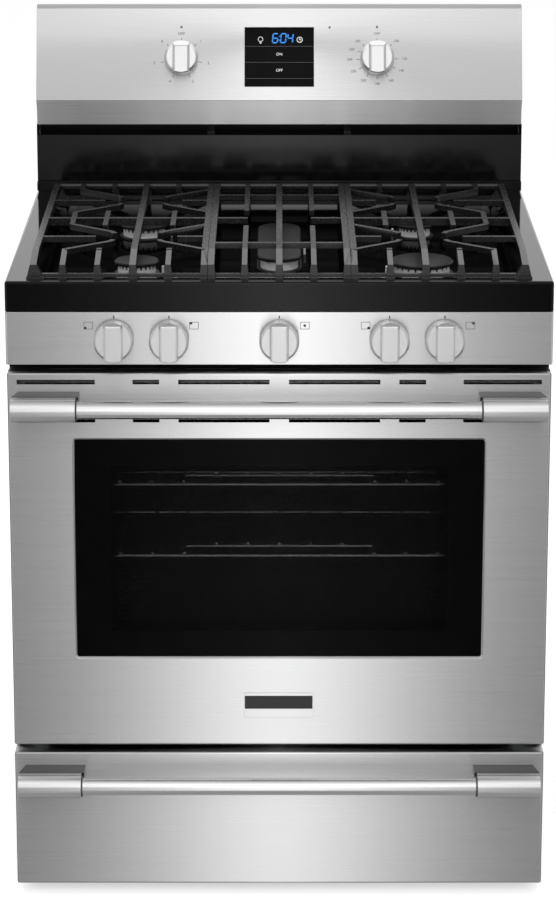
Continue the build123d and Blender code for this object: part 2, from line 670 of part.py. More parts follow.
# Oven lamp's lens on the rear wall
LAMP_Z = CAVITY_TOP - LAMP_DROP
with BuildPart() as oven_lamp:
    with BuildSketch(facing_front(LAMP_X, CAVITY_REAR, LAMP_Z)):
        Circle(LAMP_R + LAMP_RIM)
    extrude(amount=LAMP_RIM)
    with BuildSketch(facing_front(LAMP_X, CAVITY_REAR, LAMP_Z)):
        Circle(LAMP_R)
    extrude(amount=LAMP_DEPTH)
    chamfer(oven_lamp.faces().sort_by(Axis.Y)[0].edges(), LAMP_DEPTH / 3)
save(oven_lamp, "oven_lamp")

# Insulation batts round the cavity, cut for the motor, the burner inlets and the duct
BATT_FRONT = FRAME_BACK + SHEET + CLEAR
BATT_REAR = CAVITY_OUTER_REAR + INSULATION
BATT_HALF = CAVITY_WIDTH / 2 + CAVITY_WALL
CAVITY_UNDERSIDE = CAVITY_BOTTOM - CAVITY_WALL
INLET_CUT = 2 * OVEN_TUBE_R
with BuildPart() as insulation:
    for side in (-1, 1):
        edges_x = sorted((side * BATT_HALF, side * (BATT_HALF + INSULATION)))
        block(edges_x[0], edges_x[1], BATT_FRONT, CAVITY_OUTER_REAR, CAVITY_UNDERSIDE, CAVITY_ROOF)
    block(-BATT_HALF, BATT_HALF, BATT_FRONT, CAVITY_OUTER_REAR, CAVITY_ROOF, CAVITY_ROOF + INSULATION)
    block(-BATT_HALF, BATT_HALF, BATT_FRONT, CAVITY_OUTER_REAR, CAVITY_UNDERSIDE - INSULATION,
          CAVITY_UNDERSIDE)
    block(-BATT_HALF, BATT_HALF, CAVITY_OUTER_REAR, BATT_REAR, CAVITY_UNDERSIDE, CAVITY_ROOF)
    block(-MOTOR_CUT_HALF, MOTOR_CUT_HALF, CAVITY_OUTER_REAR, BATT_REAR, FAN_Z - MOTOR_CUT_HALF,
          FAN_Z + MOTOR_CUT_HALF, mode=Mode.SUBTRACT)
    for z in BURNER_INLET_ZS:
        block(OVEN_TUBE_HALF - INLET_CUT, OVEN_TUBE_HALF + INLET_CUT, CAVITY_OUTER_REAR, BATT_REAR,
              z - INLET_CUT, z + INLET_CUT, mode=Mode.SUBTRACT)
    block(-DUCT_WIDTH / 2 - CLEAR, DUCT_WIDTH / 2 + CLEAR, DUCT_INLET_Y - DUCT_INLET, BATT_REAR,
          CAVITY_ROOF, CAVITY_ROOF + INSULATION, mode=Mode.SUBTRACT)
save(insulation, "insulation")

# Flue duct: from the cavity's roof back and up to the vent slot
DUCT_START = DUCT_INLET_Y - DUCT_INLET / 2 - SHEET
with BuildPart() as flue_duct:
    with BuildSketch(Plane.YZ):
        with BuildLine():
            Polyline((DUCT_START, CAVITY_ROOF), (DUCT_REAR, CAVITY_ROOF), (DUCT_REAR, RISER_TOP),
                     (DUCT_FRONT, RISER_TOP), (DUCT_FRONT, CAVITY_ROOF + DUCT_RUN),
                     (DUCT_START, CAVITY_ROOF + DUCT_RUN), close=True)
        make_face()
    extrude(amount=DUCT_WIDTH / 2, both=True)
    with BuildSketch(Plane.YZ):
        with BuildLine():
            Polyline((DUCT_START + SHEET, CAVITY_ROOF + SHEET), (DUCT_REAR - SHEET, CAVITY_ROOF + SHEET),
                     (DUCT_REAR - SHEET, RISER_TOP), (DUCT_FRONT + SHEET, RISER_TOP),
                     (DUCT_FRONT + SHEET, CAVITY_ROOF + DUCT_RUN - SHEET),
                     (DUCT_START + SHEET, CAVITY_ROOF + DUCT_RUN - SHEET), close=True)
        make_face()
    extrude(amount=DUCT_WIDTH / 2 - SHEET, both=True, mode=Mode.SUBTRACT)
    block(-DUCT_WIDTH / 2 + SHEET, DUCT_WIDTH / 2 - SHEET, DUCT_INLET_Y - DUCT_INLET / 2,
          DUCT_INLET_Y + DUCT_INLET / 2, CAVITY_ROOF, CAVITY_ROOF + SHEET, mode=Mode.SUBTRACT)
save(flue_duct, "flue_duct")

# Door gasket: a rounded ring on the front frame round the opening
OPENING_MID = (OPENING_BOTTOM + CAVITY_TOP) / 2
OPENING_HEIGHT = CAVITY_TOP - OPENING_BOTTOM
with BuildPart() as door_gasket:
    with BuildSketch(facing_front(0, FRAME_FRONT, OPENING_MID)):
        grow = 2 * (GASKET_OFFSET + GASKET_WIDTH)
        RectangleRounded(CAVITY_WIDTH + grow, OPENING_HEIGHT + grow, 2 * GASKET_WIDTH)
        RectangleRounded(CAVITY_WIDTH + 2 * GASKET_OFFSET, OPENING_HEIGHT + 2 * GASKET_OFFSET, GASKET_WIDTH,
                         mode=Mode.SUBTRACT)
    extrude(amount=GASKET_THICK)
    chamfer(door_gasket.faces().sort_by(Axis.Y)[0].edges(), GASKET_THICK / 3)
save(door_gasket, "door_gasket")

# Rear panel: a tall sheet with vent slots, and two low sheets beside the way in for the gas pipe
GAS_X = PIPE_X - REGULATOR_WIDTH / 2
ACCESS_TOP = REGULATOR_Z + GAS_ACCESS
with BuildPart() as rear_panel:
    block(-INNER_HALF, INNER_HALF, REAR - SHEET, REAR, BASE_LIFT, GUARD_TOP - GUARD_CROWN)
    with BuildSketch(facing_front(0, REAR, 0)):
        with Locations((0, CAVITY_ROOF + LOUVRE_LENGTH), (0, CAVITY_BOTTOM)):
            with GridLocations(LOUVRE_PITCH, 1, LOUVRE_COUNT, 1):
                SlotOverall(LOUVRE_LENGTH, LOUVRE_WIDTH, rotation=90)
        with Locations((GLAND_X, GLAND_Z)):
            Circle(GLAND_BODY_R)
    extrude(amount=SHEET, mode=Mode.SUBTRACT)
    block(-INNER_HALF, INNER_HALF, REAR - SHEET, REAR, ACCESS_TOP, ACCESS_TOP + PANEL_SEAM,
          mode=Mode.SUBTRACT)
    block(GAS_X - GAS_ACCESS, GAS_X + GAS_ACCESS, REAR - SHEET, REAR, BASE_LIFT, ACCESS_TOP,
          mode=Mode.SUBTRACT)
save(rear_panel, "rear_panel")

# Cord gland: a flanged bush in the rear panel
with BuildPart() as cord_gland:
    with BuildSketch(facing_front(GLAND_X, REAR, GLAND_Z)):
        Circle(GLAND_BODY_R)
    extrude(amount=GLAND_LENGTH)
    with BuildSketch(facing_front(GLAND_X, REAR - SHEET, GLAND_Z)):
        Circle(GLAND_LIP_R)
    extrude(amount=GLAND_LIP)
    with BuildSketch(facing_front(GLAND_X, REAR, GLAND_Z)):
        Circle(GLAND_BORE_R)
    extrude(amount=GLAND_LENGTH, mode=Mode.SUBTRACT)
save(cord_gland, "cord_gland")

# Cooktop: a pressed shell with a rounded edge, a sunken well and holes for the burners and igniters
COOKTOP_REAR = FRONT + COOKTOP_DEPTH
WELL_CENTRE_Y = FRONT + (WELL_FRONT + WELL_REAR) / 2
WELL_LENGTH = WELL_REAR - WELL_FRONT
IGNITER_PLACES = []
for (x, y), cap_r, reach in zip(BURNER_PLACES, ROUND_CAPS, (1, 1, 1, -1, -1)):
    head_r = OVAL_WIDTH / 2 if cap_r is None else cap_r
    IGNITER_PLACES.append((x + reach * (head_r + IGNITER_GAP), y))

with BuildPart() as cooktop:
    block(-WIDTH / 2, WIDTH / 2, FRONT, COOKTOP_REAR, PANEL_TOP, RIM)
    fillet(cooktop.edges().filter_by(Axis.Z).group_by(Axis.Y)[0], COOKTOP_EDGE_R)
    rim_edges = cooktop.faces().sort_by(Axis.Z)[-1].edges()
    fillet(rim_edges.sort_by(Axis.Y)[:-1], COOKTOP_EDGE_R)
    with BuildSketch(Plane.XY.offset(RIM)):
        with Locations((0, WELL_CENTRE_Y)):
            RectangleRounded(2 * WELL_HALF, WELL_LENGTH, WELL_CORNER)
    extrude(amount=-WELL_DEPTH, taper=WELL_TAPER, mode=Mode.SUBTRACT)

with BuildPart() as cooktop_inside:
    block(-WIDTH / 2 + COOKTOP_SHEET, WIDTH / 2 - COOKTOP_SHEET, FRONT + COOKTOP_SHEET,
          COOKTOP_REAR - COOKTOP_SHEET, PANEL_TOP, RIM - COOKTOP_SHEET)
    with BuildSketch(Plane.XY.offset(RIM)):
        with Locations((0, WELL_CENTRE_Y)):
            RectangleRounded(2 * (WELL_HALF + COOKTOP_SHEET), WELL_LENGTH + 2 * COOKTOP_SHEET,
                             WELL_CORNER + COOKTOP_SHEET)
    extrude(amount=-(WELL_DEPTH + COOKTOP_SHEET), taper=WELL_TAPER, mode=Mode.SUBTRACT)

with BuildPart() as cooktop_shell:
    add(cooktop.part)
    add(cooktop_inside.part, mode=Mode.SUBTRACT)
    with BuildSketch(Plane.XY.offset(WELL_FLOOR)):
        with Locations(*BURNER_PLACES):
            Circle(THROAT_R + CLEAR)
        with Locations(*IGNITER_PLACES):
            Circle(IGNITER_R + CLEAR)
    extrude(amount=-2 * COOKTOP_SHEET, mode=Mode.SUBTRACT)
save(cooktop_shell, "cooktop")

# Burner heads: a flange, a crown with ports and a throat through the cooktop
with BuildPart() as burner_heads:
    for place, cap_r in zip(BURNER_PLACES, ROUND_CAPS):
        head_plane = Plane(origin=(place[0], place[1], WELL_FLOOR))
        if cap_r is None:
            with BuildSketch(head_plane):
                SlotOverall(OVAL_LENGTH, OVAL_WIDTH, rotation=90)
            extrude(amount=HEAD_FLANGE)
            with BuildSketch(head_plane):
                SlotOverall(OVAL_LENGTH - 2 * CAP_OVERHANG, OVAL_WIDTH - 2 * CAP_OVERHANG, rotation=90)
            extrude(amount=HEAD_HEIGHT)
            with BuildSketch(head_plane.offset(HEAD_HEIGHT)):
                with GridLocations(1, (OVAL_LENGTH - OVAL_WIDTH) / HEAD_PORTS, 1, HEAD_PORTS):
                    Rectangle(OVAL_WIDTH, PORT_WIDTH)
            extrude(amount=-PORT_DEPTH, mode=Mode.SUBTRACT)
        else:
            with BuildSketch(head_plane):
                Circle(cap_r)
            extrude(amount=HEAD_FLANGE)
            with BuildSketch(head_plane):
                Circle(cap_r - CAP_OVERHANG)
            extrude(amount=HEAD_HEIGHT)
            with BuildSketch(head_plane.offset(HEAD_HEIGHT)):
                with PolarLocations(cap_r - CAP_OVERHANG, HEAD_PORTS):
                    Rectangle(2 * CAP_OVERHANG, PORT_WIDTH)
            extrude(amount=-PORT_DEPTH, mode=Mode.SUBTRACT)
        with BuildSketch(head_plane):
            Circle(THROAT_R)
        extrude(amount=-THROAT_LENGTH)
save(burner_heads, "burner_heads")

# Burner caps with a bevelled edge
with BuildPart() as burner_caps:
    for place, cap_r in zip(BURNER_PLACES, ROUND_CAPS):
        with BuildSketch(Plane(origin=(place[0], place[1], HEAD_TOP))):
            if cap_r is None:
                SlotOverall(OVAL_LENGTH, OVAL_WIDTH, rotation=90)
            else:
                Circle(cap_r)
        extrude(amount=CAP_HEIGHT)
    chamfer(burner_caps.edges().group_by(Axis.Z)[-1], CAP_CHAMFER)
save(burner_caps, "burner_caps")

# Igniters: a ceramic pin beside each burner, clipped under the cooktop
with BuildPart() as igniters:
    with BuildSketch(Plane.XY.offset(WELL_FLOOR - COOKTOP_SHEET)):
        with Locations(*IGNITER_PLACES):
            Circle(IGNITER_R)
    extrude(amount=COOKTOP_SHEET + IGNITER_HEIGHT)
    chamfer(igniters.edges().group_by(Axis.Z)[-1], IGNITER_R / 2)
    with BuildSketch(Plane.XY.offset(WELL_FLOOR - COOKTOP_SHEET)):
        with Locations(*IGNITER_PLACES):
            Circle(IGNITER_CLIP_R)
    extrude(amount=-IGNITER_CLIP)
save(igniters, "igniters")

# Cast grates: flat-topped bars and fingers on legs that stand on the rim
GRATE_FRONT_Y = FRONT + GRATE_FRONT
GRATE_REAR_Y = FRONT + GRATE_REAR
FLAT_FRONT = GRATE_FRONT_Y + FRONT_REACH
FLAT_REAR = GRATE_REAR_Y - REAR_REACH
GRATE_ENDS = ((GRATE_FRONT_Y, 1, FRONT_REACH), (GRATE_REAR_Y, -1, REAR_REACH))
BURNER_YS = (BURNER_FRONT_Y, BURNER_REAR_Y)


def grate_legs(xs, width):
    """Front and rear legs: a slope down from the flat top, then an upright foot."""
    for x in xs:
        for edge, inward, reach in GRATE_ENDS:
            with BuildSketch(Plane.YZ.offset(x - width / 2)) as profile:
                with BuildLine():
                    Polyline((edge + inward * reach, GRATE_TOP), (edge, GRATE_TOP - LEG_DROP),
                             (edge, RIM), (edge + inward * LEG_THICK, RIM),
                             (edge + inward * LEG_THICK, GRATE_TOP - GRATE_BAR_DEPTH - LEG_DROP / 2),
                             (edge + inward * reach, GRATE_TOP - GRATE_BAR_DEPTH), close=True)
                make_face()
            extrude(profile.sketch, amount=width)


def grate_feet(feet):
    """Each leg spreads from its bar's width to a wider foot; feet gives x, width and the foot's two edges."""
    for x, width, low_x, high_x in feet:
        for edge, inward, _ in GRATE_ENDS:
            with BuildSketch(facing_front(0, max(edge, edge + inward * LEG_THICK), 0)) as spread:
                with BuildLine():
                    Polyline((x - width / 2, GRATE_TOP - LEG_DROP), (x + width / 2, GRATE_TOP - LEG_DROP),
                             (high_x, RIM), (low_x, RIM), close=True)
                make_face()
            extrude(spread.sketch, amount=LEG_THICK)
            sides = sorted((edge - inward * GRATE_FOOT_LIP, edge + inward * LEG_THICK))
            block(low_x, high_x, sides[0], sides[1], RIM, RIM + GRATE_FOOT_LIFT)


def grate_rails(low_x, high_x):
    """Low rails that tie the feet together at the front and the rear."""
    for edge, inward, _ in GRATE_ENDS:
        sides = sorted((edge + inward * LEG_THICK / 3, edge + inward * LEG_THICK))
        block(low_x, high_x, sides[0], sides[1], RIM + RAIL_LIFT, RIM + RAIL_LIFT + RAIL_HEIGHT)


def side_grate(side):
    """The grate over a front and a rear burner; side is -1 on the left and 1 on the right."""
    outer = side * GRATE_OUTER_X
    inner = side * GRATE_INNER_X
    middle = side * BURNER_X
    stubs = (middle - STUB_X, middle + STUB_X)
    root_outer = middle + side * FINGER_ROOT_X
    with BuildPart() as grate:
        with BuildSketch(Plane.XY.offset(GRATE_TOP)):
            for x in (outer, inner, middle):
                bar((x, FLAT_FRONT), (x, FLAT_REAR), GRATE_BAR)
            bar((outer, BURNER_MID_Y), (inner, BURNER_MID_Y), GRATE_BAR)
        extrude(amount=-GRATE_BAR_DEPTH)
        with BuildSketch(Plane.XY.offset(GRATE_TOP)):
            bar((root_outer, BURNER_MID_Y - BURNER_PITCH / 2 + FINGER_ROOT_Y),
                (root_outer, BURNER_MID_Y + BURNER_PITCH / 2 - FINGER_ROOT_Y), GRATE_FINGER)
            for x in stubs:
                bar((x, FLAT_FRONT - STUB_TIP), (x, FLAT_FRONT + STUB_TIP), GRATE_FINGER)
                bar((x, FLAT_REAR), (x, FLAT_REAR - STUB_LENGTH), GRATE_FINGER)
                bar((x, BURNER_MID_Y - MID_STUB), (x, BURNER_MID_Y + MID_STUB), GRATE_FINGER)
            bar((root_outer, FLAT_REAR), (root_outer, BURNER_REAR_Y + FINGER_ROOT_Y), GRATE_FINGER)
            for y in BURNER_YS:
                bar((outer, y), (middle + side * SIDE_FINGER, y), GRATE_FINGER)
                bar((inner, y), (middle - side * SIDE_FINGER, y), GRATE_FINGER)
                for up in (-1, 1):
                    tip_y = y + up * FINGER_TIP_Y
                    root_y = y + up * FINGER_ROOT_Y
                    hook_y = tip_y - up * FINGER_HOOK
                    for root_x, way in ((root_outer, side), (inner, -side)):
                        tip_x = middle + way * FINGER_TIP_X
                        bar((root_x, root_y), (tip_x, tip_y), GRATE_FINGER)
                        bar((tip_x + way * GRATE_FINGER / 3, tip_y + up * GRATE_FINGER / 3),
                            (tip_x - way * FINGER_HOOK / 3, hook_y), GRATE_FINGER)
        extrude(amount=-GRATE_FINGER_DEPTH)
        grate_legs((outer, middle, inner), GRATE_BAR)
        grate_legs((root_outer, *stubs), GRATE_FINGER)
        inner_edges = sorted((inner - side * GRATE_BAR / 2, inner + side * (GRATE_BAR / 2 + GRATE_FOOT_STEP)))
        grate_feet([(outer, GRATE_BAR, *sorted((outer + side * CORNER_OUT, outer - side * CORNER_IN))),
                    (inner, GRATE_BAR, *inner_edges),
                    (middle, GRATE_BAR, middle - GRATE_FOOT, middle + GRATE_FOOT)])
        grate_feet([(x, GRATE_FINGER, x - GRATE_FOOT, x + GRATE_FOOT) for x in (root_outer, *stubs)])
        grate_rails(min(outer, inner), max(outer, inner))
    return grate


save(side_grate(-1), "left_grate")
save(side_grate(1), "right_grate")

with BuildPart() as centre_grate:
    with BuildSketch(Plane.XY.offset(GRATE_TOP)):
        for x in (-CENTRE_GRATE_X, 0, CENTRE_GRATE_X):
            bar((x, FLAT_FRONT), (x, FLAT_REAR), GRATE_BAR)
    extrude(amount=-GRATE_BAR_DEPTH)
    with BuildSketch(Plane.XY.offset(GRATE_TOP)):
        for y in (BURNER_MID_Y - CENTRE_CROSS, BURNER_MID_Y + CENTRE_CROSS):
            bar((-CENTRE_GRATE_X, y), (CENTRE_GRATE_X, y), GRATE_FINGER)
        for side in (-1, 1):
            bar((side * CENTRE_GRATE_X, BURNER_MID_Y), (side * CENTRE_STUB_X, BURNER_MID_Y), GRATE_FINGER)
            finger_x = side * CENTRE_FINGER_X
            bar((finger_x, FLAT_FRONT), (finger_x, BURNER_MID_Y - CENTRE_FINGER_GAP), GRATE_FINGER)
            bar((finger_x, FLAT_REAR), (finger_x, BURNER_MID_Y + CENTRE_FINGER_GAP), GRATE_FINGER)
    extrude(amount=-GRATE_FINGER_DEPTH)
    grate_legs((-CENTRE_GRATE_X, 0, CENTRE_GRATE_X), GRATE_BAR)
    grate_legs((-CENTRE_FINGER_X, CENTRE_FINGER_X), GRATE_FINGER)
    grate_feet([(0, GRATE_BAR, -GRATE_FOOT, GRATE_FOOT)])
    for side in (-1, 1):
        outer = side * CENTRE_GRATE_X
        edges = sorted((outer + side * GRATE_BAR / 2, outer - side * (GRATE_BAR / 2 + GRATE_FOOT_STEP)))
        finger_x = side * CENTRE_FINGER_X
        grate_feet([(outer, GRATE_BAR, *edges),
                    (finger_x, GRATE_FINGER, finger_x - GRATE_FOOT, finger_x + GRATE_FOOT)])
    grate_rails(-CENTRE_GRATE_X, CENTRE_GRATE_X)
save(centre_grate, "centre_grate")

# Manifold panel: a stainless channel with a hole for each valve stem
with BuildPart() as manifold_panel:
    block(-WIDTH / 2, WIDTH / 2, FRONT, FRAME_FRONT, PANEL_BOTTOM, PANEL_TOP - SEAM)
    fillet(manifold_panel.edges().filter_by(Axis.Z).group_by(Axis.Y)[0], EDGE_R)
    fillet(manifold_panel.edges().filter_by(Axis.X).group_by(Axis.Y)[0], SHEET)
    block(-WIDTH / 2 + SHEET, WIDTH / 2 - SHEET, FRONT + SHEET, FRAME_FRONT, PANEL_BOTTOM + SHEET,
          PANEL_TOP - SEAM - SHEET, mode=Mode.SUBTRACT)
    block(-WIDTH / 2 + SHEET, WIDTH / 2 - SHEET, FRONT + FLANGE, FRAME_FRONT, PANEL_TOP - SEAM - SHEET,
          PANEL_TOP - SEAM, mode=Mode.SUBTRACT)
    with BuildSketch(facing_front(0, FRONT + SHEET, KNOB_Z)):
        with Locations(*[(x, 0) for x in KNOB_XS]):
            Circle(STEM_HOLE_R)
    extrude(amount=SHEET, mode=Mode.SUBTRACT)
save(manifold_panel, "manifold_panel")

# Gas manifold: the pipe, a valve behind each knob, and the pressure regulator at the rear
REGULATOR_X = GAS_X
REGULATOR_TOP = REGULATOR_Z + REGULATOR_HEIGHT / 2
INLET_FACE = REAR - SHEET - SEAT_GAP
REGULATOR_REAR = REAR - PIPE_REAR_GAP / 2
with BuildPart() as gas_manifold:
    pipe_start = (-KNOB_PITCH_FAR - MANIFOLD_END, MANIFOLD_Y, KNOB_Z)
    with BuildLine() as pipe_path:
        FilletPolyline(pipe_start, (PIPE_X, MANIFOLD_Y, KNOB_Z), (PIPE_X, PIPE_Y, KNOB_Z),
                       (PIPE_X, PIPE_Y, REGULATOR_TOP), radius=PIPE_BEND)
    with BuildSketch(Plane(origin=pipe_start, z_dir=(1, 0, 0))):
        Circle(MANIFOLD_R)
        Circle(MANIFOLD_R - MANIFOLD_WALL, mode=Mode.SUBTRACT)
    sweep(path=pipe_path.line)
    for x in KNOB_XS:
        block(x - VALVE_WIDTH / 2, x + VALVE_WIDTH / 2, FRONT + VALVE_FRONT, VALVE_BACK,
              KNOB_Z - VALVE_HEIGHT / 2, KNOB_Z + VALVE_HEIGHT / 2)
        with BuildSketch(Plane(origin=(x, VALVE_OUTLET_Y, KNOB_Z))):
            Circle(VALVE_BOSS_R)
        extrude(amount=VALVE_OUTLET_Z - KNOB_Z)
        with BuildSketch(facing_front(x, FRONT + VALVE_FRONT + VALVE_DEPTH / 2, KNOB_Z)):
            Circle(STEM_R + RUN_FIT)
        extrude(amount=VALVE_DEPTH / 2, mode=Mode.SUBTRACT)
    block(REGULATOR_X - REGULATOR_WIDTH / 2, REGULATOR_X + REGULATOR_WIDTH, REGULATOR_REAR - REGULATOR_DEPTH,
          REGULATOR_REAR, REGULATOR_Z - REGULATOR_HEIGHT / 2, REGULATOR_TOP)
    with BuildSketch(Plane.YZ.offset(REGULATOR_X)):
        with Locations((REGULATOR_REAR - REGULATOR_DEPTH / 2, REGULATOR_Z)):
            Circle(REGULATOR_DOME_R)
    extrude(amount=-(REGULATOR_WIDTH / 2 + REGULATOR_DOME_LENGTH))
    with BuildSketch(facing_front(REGULATOR_X, INLET_FACE, REGULATOR_Z)):
        Circle(GAS_BOSS_R)
    extrude(amount=INLET_FACE - REGULATOR_REAR)
    with BuildSketch(facing_front(REGULATOR_X, INLET_FACE, REGULATOR_Z)):
        Circle(GAS_INLET_R)
    extrude(amount=GAS_INLET_DEPTH, mode=Mode.SUBTRACT)
save(gas_manifold, "gas_manifold")

# Supply tubes from each valve's outlet to its burner's throat
with BuildPart() as supply_tubes:
    for knob_x, place in zip(KNOB_XS, BURNER_PLACES):
        points = [(knob_x, VALVE_OUTLET_Y, VALVE_OUTLET_Z), (knob_x, VALVE_OUTLET_Y, TUBE_Z)]
        if knob_x == place[0]:
            points.append((knob_x, place[1] - THROAT_R - SEAT_GAP, TUBE_Z))
        else:
            way = 1 if knob_x > place[0] else -1
            points.append((knob_x, place[1], TUBE_Z))
            points.append((place[0] + way * (THROAT_R + SEAT_GAP), place[1], TUBE_Z))
        with BuildLine() as tube_path:
            FilletPolyline(*points, radius=TUBE_BEND)
        with BuildSketch(Plane(origin=points[0])):
            Circle(TUBE_R)
        sweep(path=tube_path.line)
save(supply_tubes, "supply_tubes")


def d_profile(radius, flat):
    """A round section with one flat on its upper side."""
    Circle(radius)
    with Locations((0, flat + radius)):
        Rectangle(2 * radius, 2 * radius, mode=Mode.SUBTRACT)


def knob_body(plane, gap, radius, scoop):
    """A bevelled drum with an upright grip bar, drafted at its sides and cut back at its top by a scoop."""
    base = plane.offset(gap)
    shoulder = KNOB_SKIRT - KNOB_BEVEL
    with BuildSketch(base) as drum:
        Circle(radius)
    extrude(drum.sketch, amount=shoulder)
    with BuildSketch(base.offset(shoulder)) as rim:
        Circle(radius)
    extrude(rim.sketch, amount=KNOB_BEVEL, taper=45)
    half = KNOB_GRIP_WIDTH / 2
    foot = half + KNOB_GRIP_DRAFT
    with BuildSketch(Plane(base.origin, x_dir=base.x_dir, z_dir=-base.y_dir)) as section:
        with BuildLine():
            Polyline((-foot, 0), (foot, 0), (foot, KNOB_SKIRT), (half, KNOB_GRIP_DEPTH),
                     (-half, KNOB_GRIP_DEPTH), (-foot, KNOB_SKIRT), close=True)
        make_face()
    with BuildSketch(Plane(base.origin, x_dir=base.y_dir, z_dir=base.x_dir)) as side:
        with BuildLine():
            Polyline((-radius, 0), (radius, 0), (radius, shoulder), (radius - scoop, KNOB_GRIP_DEPTH),
                     (-radius, KNOB_GRIP_DEPTH), close=True)
        make_face()
    bar = extrude(section.sketch, amount=radius, both=True, mode=Mode.PRIVATE)
    bar &= extrude(side.sketch, amount=radius, both=True, mode=Mode.PRIVATE)
    add(bar & extrude(drum.sketch, amount=KNOB_GRIP_DEPTH, mode=Mode.PRIVATE))


# Burner knobs on their valve stems; each knob slides on the stem's flat to be pushed in
for knob_name, x in zip(KNOB_NAMES, KNOB_XS):
    panel_plane = facing_front(x, FRONT, KNOB_Z)
    with BuildPart() as stem:
        with BuildSketch(panel_plane.offset(-VALVE_FRONT - VALVE_DEPTH / 2 + CLEAR)):
            Circle(STEM_R)
        extrude(amount=VALVE_FRONT + VALVE_DEPTH / 2 - CLEAR)
        with BuildSketch(panel_plane):
            d_profile(STEM_R, STEM_FLAT)
        extrude(amount=STEM_REACH)
    save(stem, f"{knob_name}_valve_stem")
    with BuildPart() as knob:
        knob_body(panel_plane, KNOB_PUSH_GAP, KNOB_R, KNOB_SCOOP)
        chamfer(knob.faces().sort_by(Axis.Y)[0].edges(), KNOB_CHAMFER)
        with BuildSketch(panel_plane.offset(KNOB_PUSH_GAP)):
            d_profile(STEM_R + STEM_FIT, STEM_FLAT + STEM_FIT)
        extrude(amount=KNOB_BORE_DEPTH, mode=Mode.SUBTRACT)
    save(knob, f"{knob_name}_knob")

# Rear riser: a stepped black sheet with end plates and two tabs in the vent that carry the backguard
with BuildPart() as rear_riser:
    with BuildSketch(Plane.YZ):
        with BuildLine():
            foot = FRONT + RISER_SETBACK
            face = foot + RISER_LEDGE
            Polyline((foot, RIM), (foot, RIM + RISER_STEP), (face, RIM + RISER_STEP), (face, RISER_TOP),
                     (face + RISER_FLANGE, RISER_TOP), (face + RISER_FLANGE, RISER_TOP - SHEET),
                     (face + SHEET, RISER_TOP - SHEET), (face + SHEET, RIM + RISER_STEP - SHEET),
                     (foot + SHEET, RIM + RISER_STEP - SHEET), (foot + SHEET, RIM), close=True)
        make_face()
    extrude(amount=BODY_HALF, both=True)
    fillet(rear_riser.edges().filter_by(Axis.X).group_by(Axis.Z)[-1].sort_by(Axis.Y)[0], SHEET)
    for side in (-1, 1):
        edges_x = sorted((side * BODY_HALF, side * (BODY_HALF - SHEET)))
        block(edges_x[0], edges_x[1], COOKTOP_REAR, REAR - SHEET, PANEL_TOP, GUARD_BOTTOM)
        block(edges_x[0], edges_x[1], face, REAR - SHEET, RIM, GUARD_BOTTOM)
        tab_low = side * VENT_TAB_X - VENT_TAB_WIDTH / 2
        tab_rear = face + RISER_FLANGE + VENT_TAB_DEPTH
        block(tab_low, tab_low + VENT_TAB_WIDTH, face + SHEET, tab_rear, RISER_TOP - SHEET, RISER_TOP)
        block(tab_low, tab_low + VENT_TAB_WIDTH, tab_rear - SHEET, tab_rear, RISER_TOP - SHEET, GUARD_BOTTOM)
save(rear_riser, "rear_riser")

# Backguard: a stainless hood with a return strip, a sloped face, closed ends and an open back
face_run = FACE_TOP[0] - CREASE[0]
face_rise = FACE_TOP[1] - CREASE[1]
face_length = (face_run ** 2 + face_rise ** 2) ** 0.5
face_plane = Plane(origin=(0, (CREASE[0] + FACE_TOP[0]) / 2, (CREASE[1] + FACE_TOP[1]) / 2), x_dir=(1, 0, 0),
                   z_dir=(0, -face_rise, face_run))
display_plane = Plane(origin=face_plane.from_local_coords((0, -DISPLAY_DROP, 0)), x_dir=(1, 0, 0),
                      z_dir=face_plane.z_dir)
control_planes = [Plane(origin=face_plane.from_local_coords((x, -CONTROL_DROP, 0)), x_dir=(1, 0, 0),
                        z_dir=face_plane.z_dir) for x in (-CONTROL_X, CONTROL_X)]

with BuildPart() as backguard_panel:
    with BuildSketch(Plane.YZ):
        with BuildLine():
            outline = Polyline((FRONT + STRIP_SETBACK, GUARD_BOTTOM), CREASE, FACE_TOP,
                               (FACE_TOP[0] + GUARD_CROWN, GUARD_TOP), (REAR - SHEET, GUARD_TOP),
                               (REAR - SHEET, GUARD_BOTTOM), close=True)
        make_face()
    extrude(amount=WIDTH / 2 - FACE_INSET, both=True)
    with BuildSketch(Plane.YZ):
        with BuildLine():
            add(outline)
        make_face()
        offset(amount=-SHEET, kind=Kind.INTERSECTION, mode=Mode.REPLACE)
        with Locations((REAR - SHEET, (GUARD_BOTTOM + GUARD_TOP) / 2)):
            Rectangle(4 * SHEET, GUARD_TOP - GUARD_BOTTOM - 2 * SHEET)
    extrude(amount=WIDTH / 2 - FACE_INSET - SHEET, both=True, mode=Mode.SUBTRACT)
    with BuildSketch(display_plane.offset(SHEET)):
        Rectangle(DISPLAY_WIDTH + 2 * DISPLAY_FIT, DISPLAY_HEIGHT + 2 * DISPLAY_FIT)
    extrude(amount=-3 * SHEET, mode=Mode.SUBTRACT)
    for control_plane in control_planes:
        with BuildSketch(control_plane.offset(SHEET)):
            Circle(CONTROL_STEM_HOLE_R)
        extrude(amount=-3 * SHEET, mode=Mode.SUBTRACT)
save(backguard_panel, "backguard_panel")

# Display window and the control board behind it with two encoders
with BuildPart() as display_window:
    with BuildSketch(display_plane.offset(DISPLAY_PROUD)):
        Rectangle(DISPLAY_WIDTH, DISPLAY_HEIGHT)
    extrude(amount=-DISPLAY_THICK)
save(display_window, "display_window")

